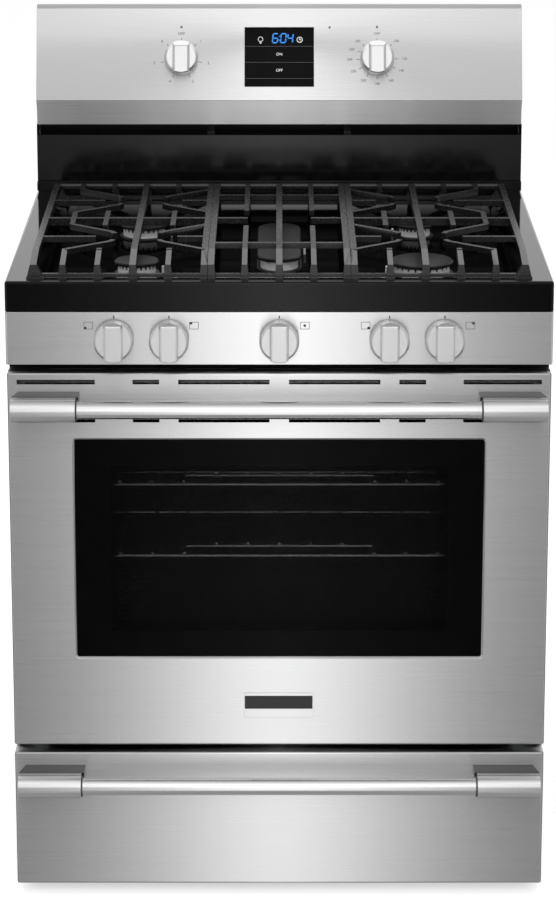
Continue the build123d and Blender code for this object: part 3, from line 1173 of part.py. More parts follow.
with BuildPart() as control_board:
    with BuildSketch(face_plane.offset(-SHEET - BOARD_OFFSET)):
        Rectangle(2 * CONTROL_X + 2 * BOARD_MARGIN, DISPLAY_HEIGHT)
    extrude(amount=-BOARD_THICK)
    with BuildSketch(display_plane.offset(DISPLAY_PROUD - DISPLAY_THICK)):
        Rectangle(DISPLAY_WIDTH - 2 * BOARD_THICK, DISPLAY_HEIGHT - 4 * BOARD_THICK)
    extrude(amount=-(BOARD_OFFSET + SHEET + DISPLAY_PROUD - DISPLAY_THICK))
    for control_plane in control_planes:
        with BuildSketch(control_plane.offset(-SHEET)):
            Rectangle(ENCODER_SIDE, ENCODER_SIDE)
        extrude(amount=-BOARD_OFFSET)
        with BuildSketch(control_plane.offset(-SHEET)):
            Circle(CONTROL_STEM_R + RUN_FIT)
        extrude(amount=-BOARD_OFFSET, mode=Mode.SUBTRACT)
save(control_board, "control_board")

# Oven control knobs with a moulded stem that plugs into its encoder
for knob_name, control_plane in zip(("mode", "temperature"), control_planes):
    with BuildPart() as knob:
        knob_body(control_plane, CONTROL_GAP, CONTROL_R, CONTROL_SCOOP)
        grip_face = knob.faces().filter_by(Axis(control_plane.origin, control_plane.z_dir))
        chamfer(grip_face.sort_by(Axis(control_plane.origin, control_plane.z_dir))[-1].edges(), KNOB_CHAMFER)
        with BuildSketch(control_plane.offset(CONTROL_GAP)):
            Circle(CONTROL_STEM_R)
        extrude(amount=-(CONTROL_GAP + SHEET + BOARD_OFFSET - CLEAR))
    save(knob, f"{knob_name}_knob")


def handle_bracket(z):
    """The right-hand end bracket: a round-nosed block, tapered at its outer end and hollow at its back."""
    with BuildSketch(Plane.YZ.offset(HANDLE_HALF - HANDLE_CAP_LENGTH)) as profile:
        with Locations((FRONT - HANDLE_OFFSET, z)):
            Circle(HANDLE_CAP_R)
        with Locations((FRONT - HANDLE_OFFSET / 2, z)):
            Rectangle(HANDLE_OFFSET, 2 * HANDLE_WEB)
    extrude(profile.sketch, amount=HANDLE_CAP_LENGTH)
    cap_inner = HANDLE_HALF - HANDLE_CAP_LENGTH
    block(cap_inner - HANDLE_WEB_STEP, cap_inner, FRONT - HANDLE_OFFSET + HANDLE_BAR_R + HANDLE_TUBE, FRONT,
          z - HANDLE_WEB, z + HANDLE_WEB)
    with BuildSketch(Plane.XY.offset(z - HANDLE_CAP_R)) as wedge:
        with BuildLine():
            Polyline((HANDLE_HALF - HANDLE_TAPER, FRONT), (HANDLE_HALF, FRONT - HANDLE_OFFSET + HANDLE_CAP_R),
                     (HANDLE_HALF, FRONT), close=True)
        make_face()
    extrude(wedge.sketch, amount=2 * HANDLE_CAP_R, mode=Mode.SUBTRACT)
    block(cap_inner + HANDLE_WALL, HANDLE_HALF - HANDLE_TAPER - HANDLE_WALL, FRONT - HANDLE_OFFSET, FRONT,
          z - HANDLE_WEB + HANDLE_WALL, z + HANDLE_WEB - HANDLE_WALL, mode=Mode.SUBTRACT)


def make_handle(z, prefix):
    with BuildPart() as brackets:
        handle_bracket(z)
        mirror(about=Plane.YZ)
    save(brackets, f"{prefix}_handle_brackets")
    with BuildPart() as handle_bar:
        with BuildSketch(Plane.YZ.offset(-HANDLE_HALF + HANDLE_CAP_LENGTH)):
            with Locations((FRONT - HANDLE_OFFSET, z)):
                Circle(HANDLE_BAR_R)
                Circle(HANDLE_BAR_R - HANDLE_TUBE, mode=Mode.SUBTRACT)
        extrude(amount=2 * (HANDLE_HALF - HANDLE_CAP_LENGTH))
    save(handle_bar, f"{prefix}_handle_bar")


make_handle(DOOR_TOP - DOOR_HANDLE_DROP, "door")
make_handle(DRAWER_TOP - DRAWER_HANDLE_DROP, "drawer")

# Door skin: a stainless tray with a bevelled window, vent slots, a lapped back edge and hinge notches
WINDOW_Z = DOOR_BOTTOM + WINDOW_SILL + WINDOW_HEIGHT / 2
with BuildPart() as door_skin:
    block(-FACE_WIDTH / 2, FACE_WIDTH / 2, FRONT, SKIN_BACK, DOOR_BOTTOM, DOOR_TOP)
    fillet(door_skin.edges().filter_by(Axis.Z).group_by(Axis.Y)[0], EDGE_R)
    fillet(door_skin.edges().filter_by(Axis.X).group_by(Axis.Y)[0], EDGE_R)
    block(-FACE_WIDTH / 2 + SHEET, FACE_WIDTH / 2 - SHEET, FRONT + SHEET, SKIN_BACK - SHEET,
          DOOR_BOTTOM + SHEET, DOOR_TOP - SHEET, mode=Mode.SUBTRACT)
    block(-FACE_WIDTH / 2 + SKIN_LAP, FACE_WIDTH / 2 - SKIN_LAP, SKIN_BACK - SHEET, SKIN_BACK,
          DOOR_BOTTOM + SKIN_LAP, DOOR_TOP - SKIN_LAP, mode=Mode.SUBTRACT)
    block(-FACE_WIDTH / 2 + SHEET, FACE_WIDTH / 2 - SHEET, FRONT + TRIM_SETBACK, SKIN_BACK,
          DOOR_TOP - LINER_INSET - CLEAR, DOOR_TOP, mode=Mode.SUBTRACT)
    with BuildSketch(facing_front(0, FRONT + WINDOW_LIP, WINDOW_Z)):
        Rectangle(WINDOW_WIDTH + 2 * GLASS_LAP, WINDOW_HEIGHT + 2 * GLASS_LAP)
    extrude(amount=WINDOW_LIP)
    with BuildSketch(facing_front(0, FRONT, WINDOW_Z)):
        RectangleRounded(WINDOW_WIDTH, WINDOW_HEIGHT, 2 * EDGE_R)
    extrude(amount=-WINDOW_LIP, taper=45, mode=Mode.SUBTRACT)
    with BuildSketch(facing_front(0, FRONT + GROOVE_DEPTH, 0)):
        with Locations((0, DOOR_TOP - SLOT_DROPS[0])):
            Rectangle(FACE_WIDTH - 2 * GROOVE_MARGIN, GROOVE_HEIGHT)
    extrude(amount=GROOVE_DEPTH, mode=Mode.SUBTRACT)
    with BuildSketch(facing_front(0, FRONT + SHEET, 0)):
        for drop in SLOT_DROPS:
            for inner_x, outer_x in SLOT_SPANS:
                slot_x = (inner_x + outer_x) / 2
                with Locations((slot_x, DOOR_TOP - drop), (-slot_x, DOOR_TOP - drop)):
                    Rectangle(outer_x - inner_x, SLOT_HEIGHT)
    extrude(amount=SHEET, mode=Mode.SUBTRACT)
    for x in (-HINGE_SPAN, HINGE_SPAN):
        block(x - NOTCH_WIDTH / 2, x + NOTCH_WIDTH / 2, HINGE_Y - HINGE_EYE_R - CLEAR, SKIN_BACK,
              DOOR_BOTTOM, HINGE_Z + HINGE_CHEEK_HEIGHT + CLEAR, mode=Mode.SUBTRACT)
save(door_skin, "door_skin")

# Door glass: the outer pane behind the skin and the inner pane in the liner
with BuildPart() as door_window:
    block(-WINDOW_WIDTH / 2 - GLASS_LAP, WINDOW_WIDTH / 2 + GLASS_LAP, FRONT + WINDOW_LIP,
          FRONT + WINDOW_LIP + GLASS, WINDOW_Z - WINDOW_HEIGHT / 2 - GLASS_LAP,
          WINDOW_Z + WINDOW_HEIGHT / 2 + GLASS_LAP)
save(door_window, "door_window")

with BuildPart() as door_inner_glass:
    block(-INNER_WINDOW_WIDTH / 2 - GLASS_LAP, INNER_WINDOW_WIDTH / 2 + GLASS_LAP, DOOR_BACK - SHEET - GLASS,
          DOOR_BACK - SHEET, WINDOW_Z - INNER_WINDOW_HEIGHT / 2 - GLASS_LAP,
          WINDOW_Z + INNER_WINDOW_HEIGHT / 2 + GLASS_LAP)
save(door_inner_glass, "door_inner_glass")

# Door liner: the inner tray with its window and a notch for each hinge
LINER_HALF = FACE_WIDTH / 2 - LINER_INSET
with BuildPart() as door_liner:
    block(-LINER_HALF, LINER_HALF, SKIN_BACK, DOOR_BACK, DOOR_BOTTOM + LINER_INSET, DOOR_TOP - LINER_INSET)
    chamfer(door_liner.faces().sort_by(Axis.Y)[-1].edges(), SHEET)
    block(-LINER_HALF + SHEET, LINER_HALF - SHEET, SKIN_BACK, DOOR_BACK - SHEET,
          DOOR_BOTTOM + LINER_INSET + SHEET, DOOR_TOP - LINER_INSET - SHEET, mode=Mode.SUBTRACT)
    block(-INNER_WINDOW_WIDTH / 2, INNER_WINDOW_WIDTH / 2, DOOR_BACK - SHEET, DOOR_BACK,
          WINDOW_Z - INNER_WINDOW_HEIGHT / 2, WINDOW_Z + INNER_WINDOW_HEIGHT / 2, mode=Mode.SUBTRACT)
    for x in (-HINGE_SPAN, HINGE_SPAN):
        block(x - NOTCH_WIDTH / 2, x + NOTCH_WIDTH / 2, SKIN_BACK, DOOR_BACK, DOOR_BOTTOM + LINER_INSET,
              HINGE_Z + HINGE_EYE_R + 4 * CLEAR, mode=Mode.SUBTRACT)
save(door_liner, "door_liner")

# Door top trim: a black cap with vent slots between the skin and the liner
with BuildPart() as door_top_trim:
    trim_half = FACE_WIDTH / 2 - SHEET - CLEAR
    trim_front = FRONT + TRIM_SETBACK
    block(-trim_half, trim_half, trim_front, DOOR_BACK, DOOR_TOP - LINER_INSET,
          DOOR_TOP - LINER_INSET + TRIM_HEIGHT)
    chamfer(door_top_trim.edges().filter_by(Axis.X).sort_by(Axis.Y)[-2:], TRIM_WALL)
    block(-trim_half + TRIM_WALL, trim_half - TRIM_WALL, trim_front + TRIM_WALL, DOOR_BACK - 2 * TRIM_WALL,
          DOOR_TOP - LINER_INSET, DOOR_TOP - LINER_INSET + TRIM_HEIGHT - TRIM_WALL, mode=Mode.SUBTRACT)
    with BuildSketch(Plane.XY.offset(DOOR_TOP - LINER_INSET + TRIM_HEIGHT)):
        with Locations((0, (trim_front + DOOR_BACK) / 2)):
            with GridLocations(trim_half / 4, 1, 7, 1):
                SlotOverall(trim_half / 5, SLOT_HEIGHT)
    extrude(amount=-2 * TRIM_WALL, mode=Mode.SUBTRACT)
save(door_top_trim, "door_top_trim")

# Hinge arms on the front frame, each with an eye on the door's axis
with BuildPart() as hinge_arms:
    with BuildSketch(Plane.YZ.offset(HINGE_SPAN - HINGE_ARM_THICK / 2)):
        with Locations((HINGE_Y, HINGE_Z)):
            Circle(HINGE_EYE_R)
        with Locations(((HINGE_Y + FRAME_FRONT) / 2, HINGE_Z)):
            Rectangle(FRAME_FRONT - HINGE_Y, 2 * HINGE_EYE_R)
        with Locations((HINGE_Y, HINGE_Z)):
            Circle(HINGE_PIN_R + RUN_FIT, mode=Mode.SUBTRACT)
    extrude(amount=HINGE_ARM_THICK)
    with BuildSketch(facing_front(HINGE_SPAN, FRAME_FRONT, HINGE_Z)):
        RectangleRounded(HINGE_FOOT_WIDTH, HINGE_FOOT_HEIGHT, HINGE_EYE_R / 2)
    extrude(amount=HINGE_FOOT_THICK)
    mirror(about=Plane.YZ)
save(hinge_arms, "hinge_arms")

# Hinge cheeks inside the door: two plates joined by the pin and screwed to the liner
CHEEK_GAP = HINGE_ARM_THICK / 2 + CLEAR
with BuildPart() as door_hinges:
    for low in (HINGE_SPAN - CHEEK_GAP - HINGE_CHEEK_THICK, HINGE_SPAN + CHEEK_GAP):
        with BuildSketch(Plane.YZ.offset(low)):
            with Locations((HINGE_Y, HINGE_Z)):
                Circle(HINGE_EYE_R)
            with Locations((HINGE_Y, HINGE_Z + HINGE_CHEEK_HEIGHT / 2)):
                Rectangle(2 * HINGE_EYE_R, HINGE_CHEEK_HEIGHT)
            with Locations(((HINGE_Y + DOOR_BACK - SHEET) / 2,
                            HINGE_Z + (HINGE_PAD_LOW + HINGE_CHEEK_HEIGHT) / 2)):
                Rectangle(DOOR_BACK - SHEET - HINGE_Y, HINGE_CHEEK_HEIGHT - HINGE_PAD_LOW)
        extrude(amount=HINGE_CHEEK_THICK)
    with BuildSketch(Plane.YZ.offset(HINGE_SPAN - CHEEK_GAP - HINGE_CHEEK_THICK)):
        with Locations((HINGE_Y, HINGE_Z)):
            Circle(HINGE_PIN_R)
    extrude(amount=2 * (CHEEK_GAP + HINGE_CHEEK_THICK))
    block(HINGE_SPAN - CHEEK_GAP - HINGE_CHEEK_THICK, HINGE_SPAN + CHEEK_GAP + HINGE_CHEEK_THICK,
          DOOR_BACK - SHEET - HINGE_CHEEK_THICK, DOOR_BACK - SHEET, HINGE_Z + HINGE_PAD_LOW,
          HINGE_Z + HINGE_CHEEK_HEIGHT)
    mirror(about=Plane.YZ)
save(door_hinges, "door_hinges")

# Drawer front: a stainless tray
DRAWER_SKIN_BACK = FRONT + DRAWER_SKIN_DEPTH
with BuildPart() as drawer_front:
    block(-FACE_WIDTH / 2, FACE_WIDTH / 2, FRONT, DRAWER_SKIN_BACK, DRAWER_LIFT, DRAWER_TOP)
    fillet(drawer_front.edges().filter_by(Axis.Z).group_by(Axis.Y)[0], EDGE_R)
    fillet(drawer_front.edges().filter_by(Axis.X).group_by(Axis.Y)[0], EDGE_R)
    block(-FACE_WIDTH / 2 + SHEET, FACE_WIDTH / 2 - SHEET, FRONT + SHEET, DRAWER_SKIN_BACK - SHEET,
          DRAWER_LIFT + SHEET, DRAWER_TOP - SHEET, mode=Mode.SUBTRACT)
    block(-FACE_WIDTH / 2 + SKIN_LAP, FACE_WIDTH / 2 - SKIN_LAP, DRAWER_SKIN_BACK - SHEET, DRAWER_SKIN_BACK,
          DRAWER_LIFT + SKIN_LAP, DRAWER_TOP - SKIN_LAP, mode=Mode.SUBTRACT)
save(drawer_front, "drawer_front")

# Drawer box: an open tray behind the front
BOX_REAR = DRAWER_SKIN_BACK + DRAWER_BOX_DEPTH
BOX_TOP = DRAWER_BOX_LIFT + DRAWER_BOX_HEIGHT
FRONT_LAP_HALF = FACE_WIDTH / 2 - SKIN_LAP / 2
with BuildPart() as drawer_box:
    block(-DRAWER_BOX_WIDTH / 2, DRAWER_BOX_WIDTH / 2, DRAWER_SKIN_BACK, BOX_REAR, DRAWER_BOX_LIFT, BOX_TOP)
    block(-DRAWER_BOX_WIDTH / 2 + SHEET, DRAWER_BOX_WIDTH / 2 - SHEET, DRAWER_SKIN_BACK + SHEET,
          BOX_REAR - SHEET, DRAWER_BOX_LIFT + SHEET, BOX_TOP, mode=Mode.SUBTRACT)
    block(-FRONT_LAP_HALF, FRONT_LAP_HALF, DRAWER_SKIN_BACK, DRAWER_SKIN_BACK + SHEET, DRAWER_BOX_LIFT,
          BOX_TOP)
save(drawer_box, "drawer_box")

# Drawer runners on the box and the channels they slide in
RUNNER_OUTER = INNER_HALF - RAIL_SHEET - CLEAR
RUNNER_WIDTH = RUNNER_OUTER - DRAWER_BOX_WIDTH / 2
with BuildPart() as drawer_runners:
    with BuildSketch(Plane.XZ.offset(-(DRAWER_SKIN_BACK + SHEET))):
        with Locations((RUNNER_OUTER - RUNNER_WIDTH / 2, RUNNER_Z)):
            Rectangle(RUNNER_WIDTH, RUNNER_HEIGHT)
            Rectangle(RUNNER_WIDTH - 2 * RAIL_SHEET, RUNNER_HEIGHT - 2 * RAIL_SHEET, mode=Mode.SUBTRACT)
    extrude(amount=-(DRAWER_BOX_DEPTH - SHEET))
    mirror(about=Plane.YZ)
save(drawer_runners, "drawer_runners")

RAIL_HALF_HEIGHT = RUNNER_HEIGHT / 2 + SEAT_GAP + RAIL_SHEET
with BuildPart() as drawer_rails:
    with BuildSketch(Plane.XZ.offset(-FRAME_BACK)):
        with Locations((INNER_HALF - RAIL_LIP / 2, RUNNER_Z)):
            Rectangle(RAIL_LIP, 2 * RAIL_HALF_HEIGHT)
        with Locations((INNER_HALF - RAIL_LIP / 2 - RAIL_SHEET, RUNNER_Z)):
            Rectangle(RAIL_LIP, 2 * (RAIL_HALF_HEIGHT - RAIL_SHEET), mode=Mode.SUBTRACT)
    extrude(amount=-(BOX_REAR - FRAME_BACK))
    mirror(about=Plane.YZ)
save(drawer_rails, "drawer_rails")
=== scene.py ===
import json
from math import cos, pi, radians, sin

import bmesh
import bpy
from mathutils import Matrix, Vector


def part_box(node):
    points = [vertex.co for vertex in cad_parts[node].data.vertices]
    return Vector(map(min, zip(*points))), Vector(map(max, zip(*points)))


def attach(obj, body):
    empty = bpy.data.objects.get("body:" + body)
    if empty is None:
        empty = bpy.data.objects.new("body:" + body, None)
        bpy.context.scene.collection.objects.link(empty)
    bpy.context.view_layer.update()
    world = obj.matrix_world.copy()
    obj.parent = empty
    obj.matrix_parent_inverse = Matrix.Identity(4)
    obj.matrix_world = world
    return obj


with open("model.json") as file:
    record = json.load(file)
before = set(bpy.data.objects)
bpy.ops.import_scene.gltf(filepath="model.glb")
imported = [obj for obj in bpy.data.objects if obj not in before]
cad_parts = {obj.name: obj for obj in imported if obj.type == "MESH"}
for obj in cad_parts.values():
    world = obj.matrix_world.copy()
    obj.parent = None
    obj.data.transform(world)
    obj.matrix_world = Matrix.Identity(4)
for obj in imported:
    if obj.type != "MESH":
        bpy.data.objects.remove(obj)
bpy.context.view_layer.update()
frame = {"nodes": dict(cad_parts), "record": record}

# Places on the range, in metres
FRONT = -0.3025
PANEL_KNOB_Z = 0.83275
PANEL_KNOBS = {"left_front": -0.229, "left_rear": -0.1525, "centre": 0.0,
               "right_front": 0.1525, "right_rear": 0.229}
GUARD_CREASE = Vector((0, 0.3005, 1.057))
GUARD_EDGE = Vector((0, 0.3475, 1.194))
GUARD_KNOB_X = 0.1525
WINDOW_MIDDLE = 0.5255
VIEW_PORT = (0.235, 0.120)
PRINT_DEPTH = 0.00012

guard_up = (GUARD_EDGE - GUARD_CREASE).normalized()
guard_out = Vector((1, 0, 0)).cross(guard_up)
guard_middle = (GUARD_EDGE + GUARD_CREASE) / 2


def facing(origin, up, out):
    """A matrix whose x is the range's x, whose y is up and whose z stands out of the surface."""
    across = Vector(up).cross(Vector(out))
    turn = Matrix((across, up, out)).transposed().to_4x4()
    return Matrix.Translation(origin) @ turn


def on_front(x, z, out=0.0):
    return facing(Vector((x, FRONT - out, z)), (0, 0, 1), (0, -1, 0))


def on_guard(x, up, out=0.0):
    return facing(guard_middle + Vector((x, 0, 0)) + guard_up * up + guard_out * out, guard_up, guard_out)


# Node helpers
def new_material(name):
    mat = bpy.data.materials.new(name)
    mat.use_nodes = True
    return mat, mat.node_tree, mat.node_tree.nodes["Principled BSDF"]


def node(tree, kind, links=None, **inputs):
    made = tree.nodes.new(kind)
    for socket, value in inputs.items():
        made.inputs[socket.replace("_", " ")].default_value = value
    for socket, output in (links or {}).items():
        tree.links.new(output, made.inputs[socket])
    return made


def place(tree):
    return tree.nodes.new("ShaderNodeTexCoord").outputs["Object"]


def grain(tree, scale, detail=2.0):
    mapping = node(tree, "ShaderNodeMapping", {"Vector": place(tree)}, Scale=scale)
    noise = node(tree, "ShaderNodeTexNoise", {"Vector": mapping.outputs[0]}, Scale=1.0, Detail=detail)
    return noise.outputs["Fac"]


def shade(tree, value, low, high, start=0.3, end=0.7):
    ramp = node(tree, "ShaderNodeValToRGB", {"Fac": value})
    ramp.color_ramp.elements[0].position = start
    ramp.color_ramp.elements[0].color = (*low, 1)
    ramp.color_ramp.elements[1].position = end
    ramp.color_ramp.elements[1].color = (*high, 1)
    return ramp.outputs["Color"]


def spread(tree, value, low, high, start=0.3, end=0.7):
    made = node(tree, "ShaderNodeMapRange", {"Value": value})
    for socket, number in zip(("From Min", "From Max", "To Min", "To Max"), (start, end, low, high)):
        made.inputs[socket].default_value = number
    return made.outputs["Result"]


def relief(tree, value, strength, depth, normal=None):
    made = node(tree, "ShaderNodeBump", {"Height": value}, Strength=strength, Distance=depth)
    if normal:
        tree.links.new(normal, made.inputs["Normal"])
    return made.outputs["Normal"]


def math(tree, kind, first, second):
    made = tree.nodes.new("ShaderNodeMath")
    made.operation = kind
    for socket, value in zip(made.inputs, (first, second)):
        if isinstance(value, (int, float)):
            socket.default_value = value
        elif value is not None:
            tree.links.new(value, socket)
    return made.outputs[0]


def surface(name, low, high, rough, scale, bump=(0.0, 0.001), detail=2.0, **sockets):
    """A finish whose colour, roughness and relief follow one noise, stretched by scale."""
    mat, tree, shader = new_material(name)
    value = grain(tree, scale, detail)
    tree.links.new(shade(tree, value, low, high), shader.inputs["Base Color"])
    tree.links.new(spread(tree, value, *rough), shader.inputs["Roughness"])
    if bump[0]:
        tree.links.new(relief(tree, value, *bump), shader.inputs["Normal"])
    for socket, number in sockets.items():
        shader.inputs[socket.replace("_", " ")].default_value = number
    return mat


def grey(value):
    return (value, value, value)


def brushed(name, low, high, rough, scale, anisotropic, turn=0.25, bump=(0.03, 0.0002)):
    """Brushed sheet: fine lines across the width, with the gloss drawn out across the lines."""
    mat = surface(name, low, high, rough, scale, bump, detail=3.0,
                  Metallic=1.0, Anisotropic=anisotropic, Anisotropic_Rotation=turn)
    tree = mat.node_tree
    tangent = tree.nodes.new("ShaderNodeTangent")
    tangent.direction_type = "RADIAL"
    tangent.axis = "Z"
    tree.links.new(tangent.outputs[0], tree.nodes["Principled BSDF"].inputs["Tangent"])
    return mat


def dark_sides(mat, half, fade=0.0030, level=0.35):
    """Darkens a sheet's colour near its two upright edges: painted shade where the sheet rolls over."""
    tree = mat.node_tree
    shader = tree.nodes["Principled BSDF"]
    split = node(tree, "ShaderNodeSeparateXYZ", {"Vector": place(tree)})
    away = math(tree, "SUBTRACT", half, math(tree, "ABSOLUTE", split.outputs["X"], None))
    keep_share = spread(tree, away, level, 1.0, fade / 3, fade)
    scaled = tree.nodes.new("ShaderNodeVectorMath")
    scaled.operation = "SCALE"
    tree.links.new(shader.inputs["Base Color"].links[0].from_socket, scaled.inputs[0])
    tree.links.new(keep_share, scaled.inputs["Scale"])
    tree.links.new(scaled.outputs[0], shader.inputs["Base Color"])
    return mat


# Finishes
STEEL = dict(low=(0.590, 0.590, 0.593), high=(0.625, 0.625, 0.628), rough=(0.27, 0.31), scale=(5, 1100, 1100),
             anisotropic=1.0, bump=(0.008, 0.0002))
stainless = brushed("stainless", **STEEL)
# The door and drawer steels carry painted shade along their upright edges.
door_steel = dark_sides(brushed("door_steel", **STEEL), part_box("door_skin")[1][0])
drawer_steel = dark_sides(brushed("drawer_steel", **STEEL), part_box("drawer_front")[1][0])
handle_metal = surface("handle_metal", (0.73, 0.73, 0.732), (0.76, 0.76, 0.762), (0.22, 0.26),
                       (3, 900, 900), Metallic=1.0)
knob_metal = surface("knob_metal", (0.64, 0.64, 0.643), (0.65, 0.65, 0.653), (0.28, 0.29),
                     (900, 900, 30), Metallic=0.75)
PORCELAIN = dict(low=grey(0.0008), high=grey(0.0014), rough=(0.05, 0.08), scale=(90, 90, 90),
                 bump=(0.010, 0.0004))
porcelain = surface("black_porcelain", **PORCELAIN, Specular_IOR_Level=0.13)
riser_enamel = surface("riser_enamel", grey(0.0018), grey(0.003), (0.11, 0.14), (90, 90, 90), (0.010, 0.0004),
                       Specular_IOR_Level=0.24)
body_paint = surface("body_paint", grey(0.012), grey(0.020), (0.36, 0.46), (700, 700, 700), (0.06, 0.0003))
grate_iron = surface("grate_iron", grey(0.004), grey(0.009), (0.22, 0.33), (420, 420, 420), (0.10, 0.0005),
                     Specular_IOR_Level=0.55)
burner_alloy = surface("burner_alloy", grey(0.50), grey(0.62), (0.42, 0.56), (260, 260, 260), (0.10, 0.0003),
                       Metallic=0.8)
cap_enamel = surface("cap_enamel", grey(0.007), grey(0.012), (0.32, 0.42), (240, 240, 240), (0.06, 0.0003),
                     Specular_IOR_Level=0.20)
galvanised = surface("galvanised", (0.36, 0.37, 0.38), (0.56, 0.57, 0.58), (0.38, 0.52), (45, 45, 45),
                     (0.03, 0.0003), Metallic=1.0)
chrome = surface("rack_chrome", (0.80, 0.80, 0.81), (0.90, 0.90, 0.91), (0.12, 0.20), (60, 400, 60),
                 (0.02, 0.0002), Metallic=1.0)
brass = surface("brass", (0.55, 0.40, 0.16), (0.68, 0.50, 0.22), (0.26, 0.36), (400, 60, 400),
                (0.03, 0.0002), Metallic=1.0)
valve_alloy = surface("valve_alloy", (0.50, 0.50, 0.51), (0.62, 0.62, 0.63), (0.40, 0.52), (300, 300, 300),
                      (0.10, 0.0003), Metallic=1.0)
tube_aluminium = surface("tube_aluminium", (0.62, 0.63, 0.64), (0.74, 0.75, 0.76), (0.28, 0.38),
                         (80, 80, 80), (0.02, 0.0003), Metallic=1.0)
wool = surface("insulation_wool", (0.62, 0.57, 0.42), (0.80, 0.76, 0.62), (0.90, 1.0), (140, 140, 500),
               (0.50, 0.002))
foot_plastic = surface("foot_plastic", grey(0.018), grey(0.030), (0.48, 0.60), (500, 500, 500),
                       (0.08, 0.0003))
rubber = surface("rubber", grey(0.016), grey(0.026), (0.62, 0.76), (400, 400, 400), (0.10, 0.0003))
ceramic = surface("igniter_ceramic", (0.76, 0.74, 0.70), (0.86, 0.84, 0.80), (0.24, 0.34), (300, 300, 300),
                  (0.03, 0.0002))
motor_paint = surface("motor_paint", grey(0.030), grey(0.050), (0.40, 0.52), (500, 500, 500), (0.06, 0.0003))
mark_ink = surface("mark_ink", grey(0.020), grey(0.035), (0.45, 0.60), (900, 900, 900))
pale_mark = surface("pale_mark", grey(0.11), grey(0.15), (0.45, 0.60), (900, 900, 900))
# This dark finish serves the printed display rules and the painted shade of the handle seams and burner
# ports.
ink_and_painted_shade = surface("ink_and_painted_shade", grey(0.035), grey(0.050), (0.45, 0.60), (900, 900, 900))

WELL_GLOSS, RIM_GLOSS, SKIRT_GLOSS = 0.02, 0.50, 0.18
WELL_WALL = (0.897, 0.912)
SKIRT_Y = -0.3005


def cooktop_finish():
    """Black porcelain: a glossy rim, a plainer front skirt and a dull well under the grates."""
    mat = surface("cooktop_porcelain", **PORCELAIN, Specular_IOR_Level=SKIRT_GLOSS)
    tree = mat.node_tree
    split = node(tree, "ShaderNodeSeparateXYZ", {"Vector": place(tree)})
    rim = spread(tree, split.outputs["Z"], WELL_GLOSS, RIM_GLOSS, *WELL_WALL)
    skirt = math(tree, "LESS_THAN", split.outputs["Y"], SKIRT_Y)
    change = math(tree, "MULTIPLY", skirt, math(tree, "SUBTRACT", SKIRT_GLOSS, rim))
    gloss = math(tree, "ADD", rim, change)
    tree.links.new(gloss, tree.nodes["Principled BSDF"].inputs["Specular IOR Level"])
    return mat


cooktop_porcelain = cooktop_finish()


def mixed(tree, share, first):
    """A colour mix from first, where share is 0, to the B colour, where share is 1."""
    mix = tree.nodes.new("ShaderNodeMix")
    mix.data_type = "RGBA"
    tree.links.new(share, mix.inputs["Factor"])
    tree.links.new(first, mix.inputs["A"])
    return mix


def split_finish(name, axis, level, below, above, rough, scale, metallic, bump=0.08):
    """One finish under a level along an axis and another over it; each is a pair of colours for the grain."""
    mat, tree, shader = new_material(name)
    value = grain(tree, scale)
    split = node(tree, "ShaderNodeSeparateXYZ", {"Vector": place(tree)})
    over = math(tree, "GREATER_THAN", split.outputs[axis], level)
    mix = mixed(tree, over, shade(tree, value, *below))
    tree.links.new(shade(tree, value, *above), mix.inputs["B"])
    tree.links.new(mix.outputs["Result"], shader.inputs["Base Color"])
    tree.links.new(spread(tree, value, *rough), shader.inputs["Roughness"])
    tree.links.new(relief(tree, value, bump, 0.0003), shader.inputs["Normal"])
    shader.inputs["Metallic"].default_value = metallic
    return mat


FLANGE_TOP = 0.8918
REAR_INSIDE = 0.3621
DUCT_DARK = 0.93
WEB_FRONT = -0.3345
ZINC = ((0.40, 0.41, 0.42), (0.56, 0.57, 0.58))
ZINC_LOOK = dict(rough=(0.38, 0.52), scale=(45, 45, 45), metallic=0.85)
# The burner heads are one alloy, near white above FLANGE_TOP and near black below it: a painted lit crown and
# painted shade on the flange.
crown_alloy = split_finish("crown_alloy", "Z", FLANGE_TOP, (grey(0.018), grey(0.028)),
                           (grey(0.86), grey(0.94)), (0.40, 0.52), (260, 260, 260), 0.15)
# The duct is painted near black above DUCT_DARK, where it shows through the vent: painted shade.
duct_sheet = split_finish("duct_sheet", "Z", DUCT_DARK, ZINC, (grey(0.004), grey(0.007)), **ZINC_LOOK)
# The bracket's web behind WEB_FRONT is painted dark grey: painted shade on the web between the bar and the
# door.
bracket_metal = split_finish("bracket_metal", "Y", WEB_FRONT, (grey(0.73), grey(0.76)),
                             (grey(0.11), grey(0.15)), (0.22, 0.26), (3, 900, 900), 1.0, bump=0.005)
# The rear sheet is painted near black in front of REAR_INSIDE, where it shows through the vent: painted
# shade.
rear_sheet = split_finish("rear_sheet", "Y", REAR_INSIDE, (grey(0.006), grey(0.010)), ZINC, **ZINC_LOOK)

FLECK_SIZE = 0.16


def speckled(name, low, high, fleck, scale):
    """Oven enamel: a dark glaze with fine pale flecks."""
    mat, tree, shader = new_material(name)
    value = grain(tree, (120, 120, 120))
    cells = node(tree, "ShaderNodeTexVoronoi", {"Vector": place(tree)}, Scale=scale)
    spot = math(tree, "LESS_THAN", cells.outputs["Distance"], FLECK_SIZE)
    mix = mixed(tree, spot, shade(tree, value, low, high))
    mix.inputs["B"].default_value = (*fleck, 1)
    tree.links.new(mix.outputs["Result"], shader.inputs["Base Color"])
    tree.links.new(spread(tree, value, 0.20, 0.30), shader.inputs["Roughness"])
    tree.links.new(relief(tree, value, 0.03, 0.0004), shader.inputs["Normal"])
    return mat


oven_enamel = speckled("oven_enamel", (0.010, 0.011, 0.014), (0.015, 0.016, 0.019),
                       (0.024, 0.025, 0.028), 260)


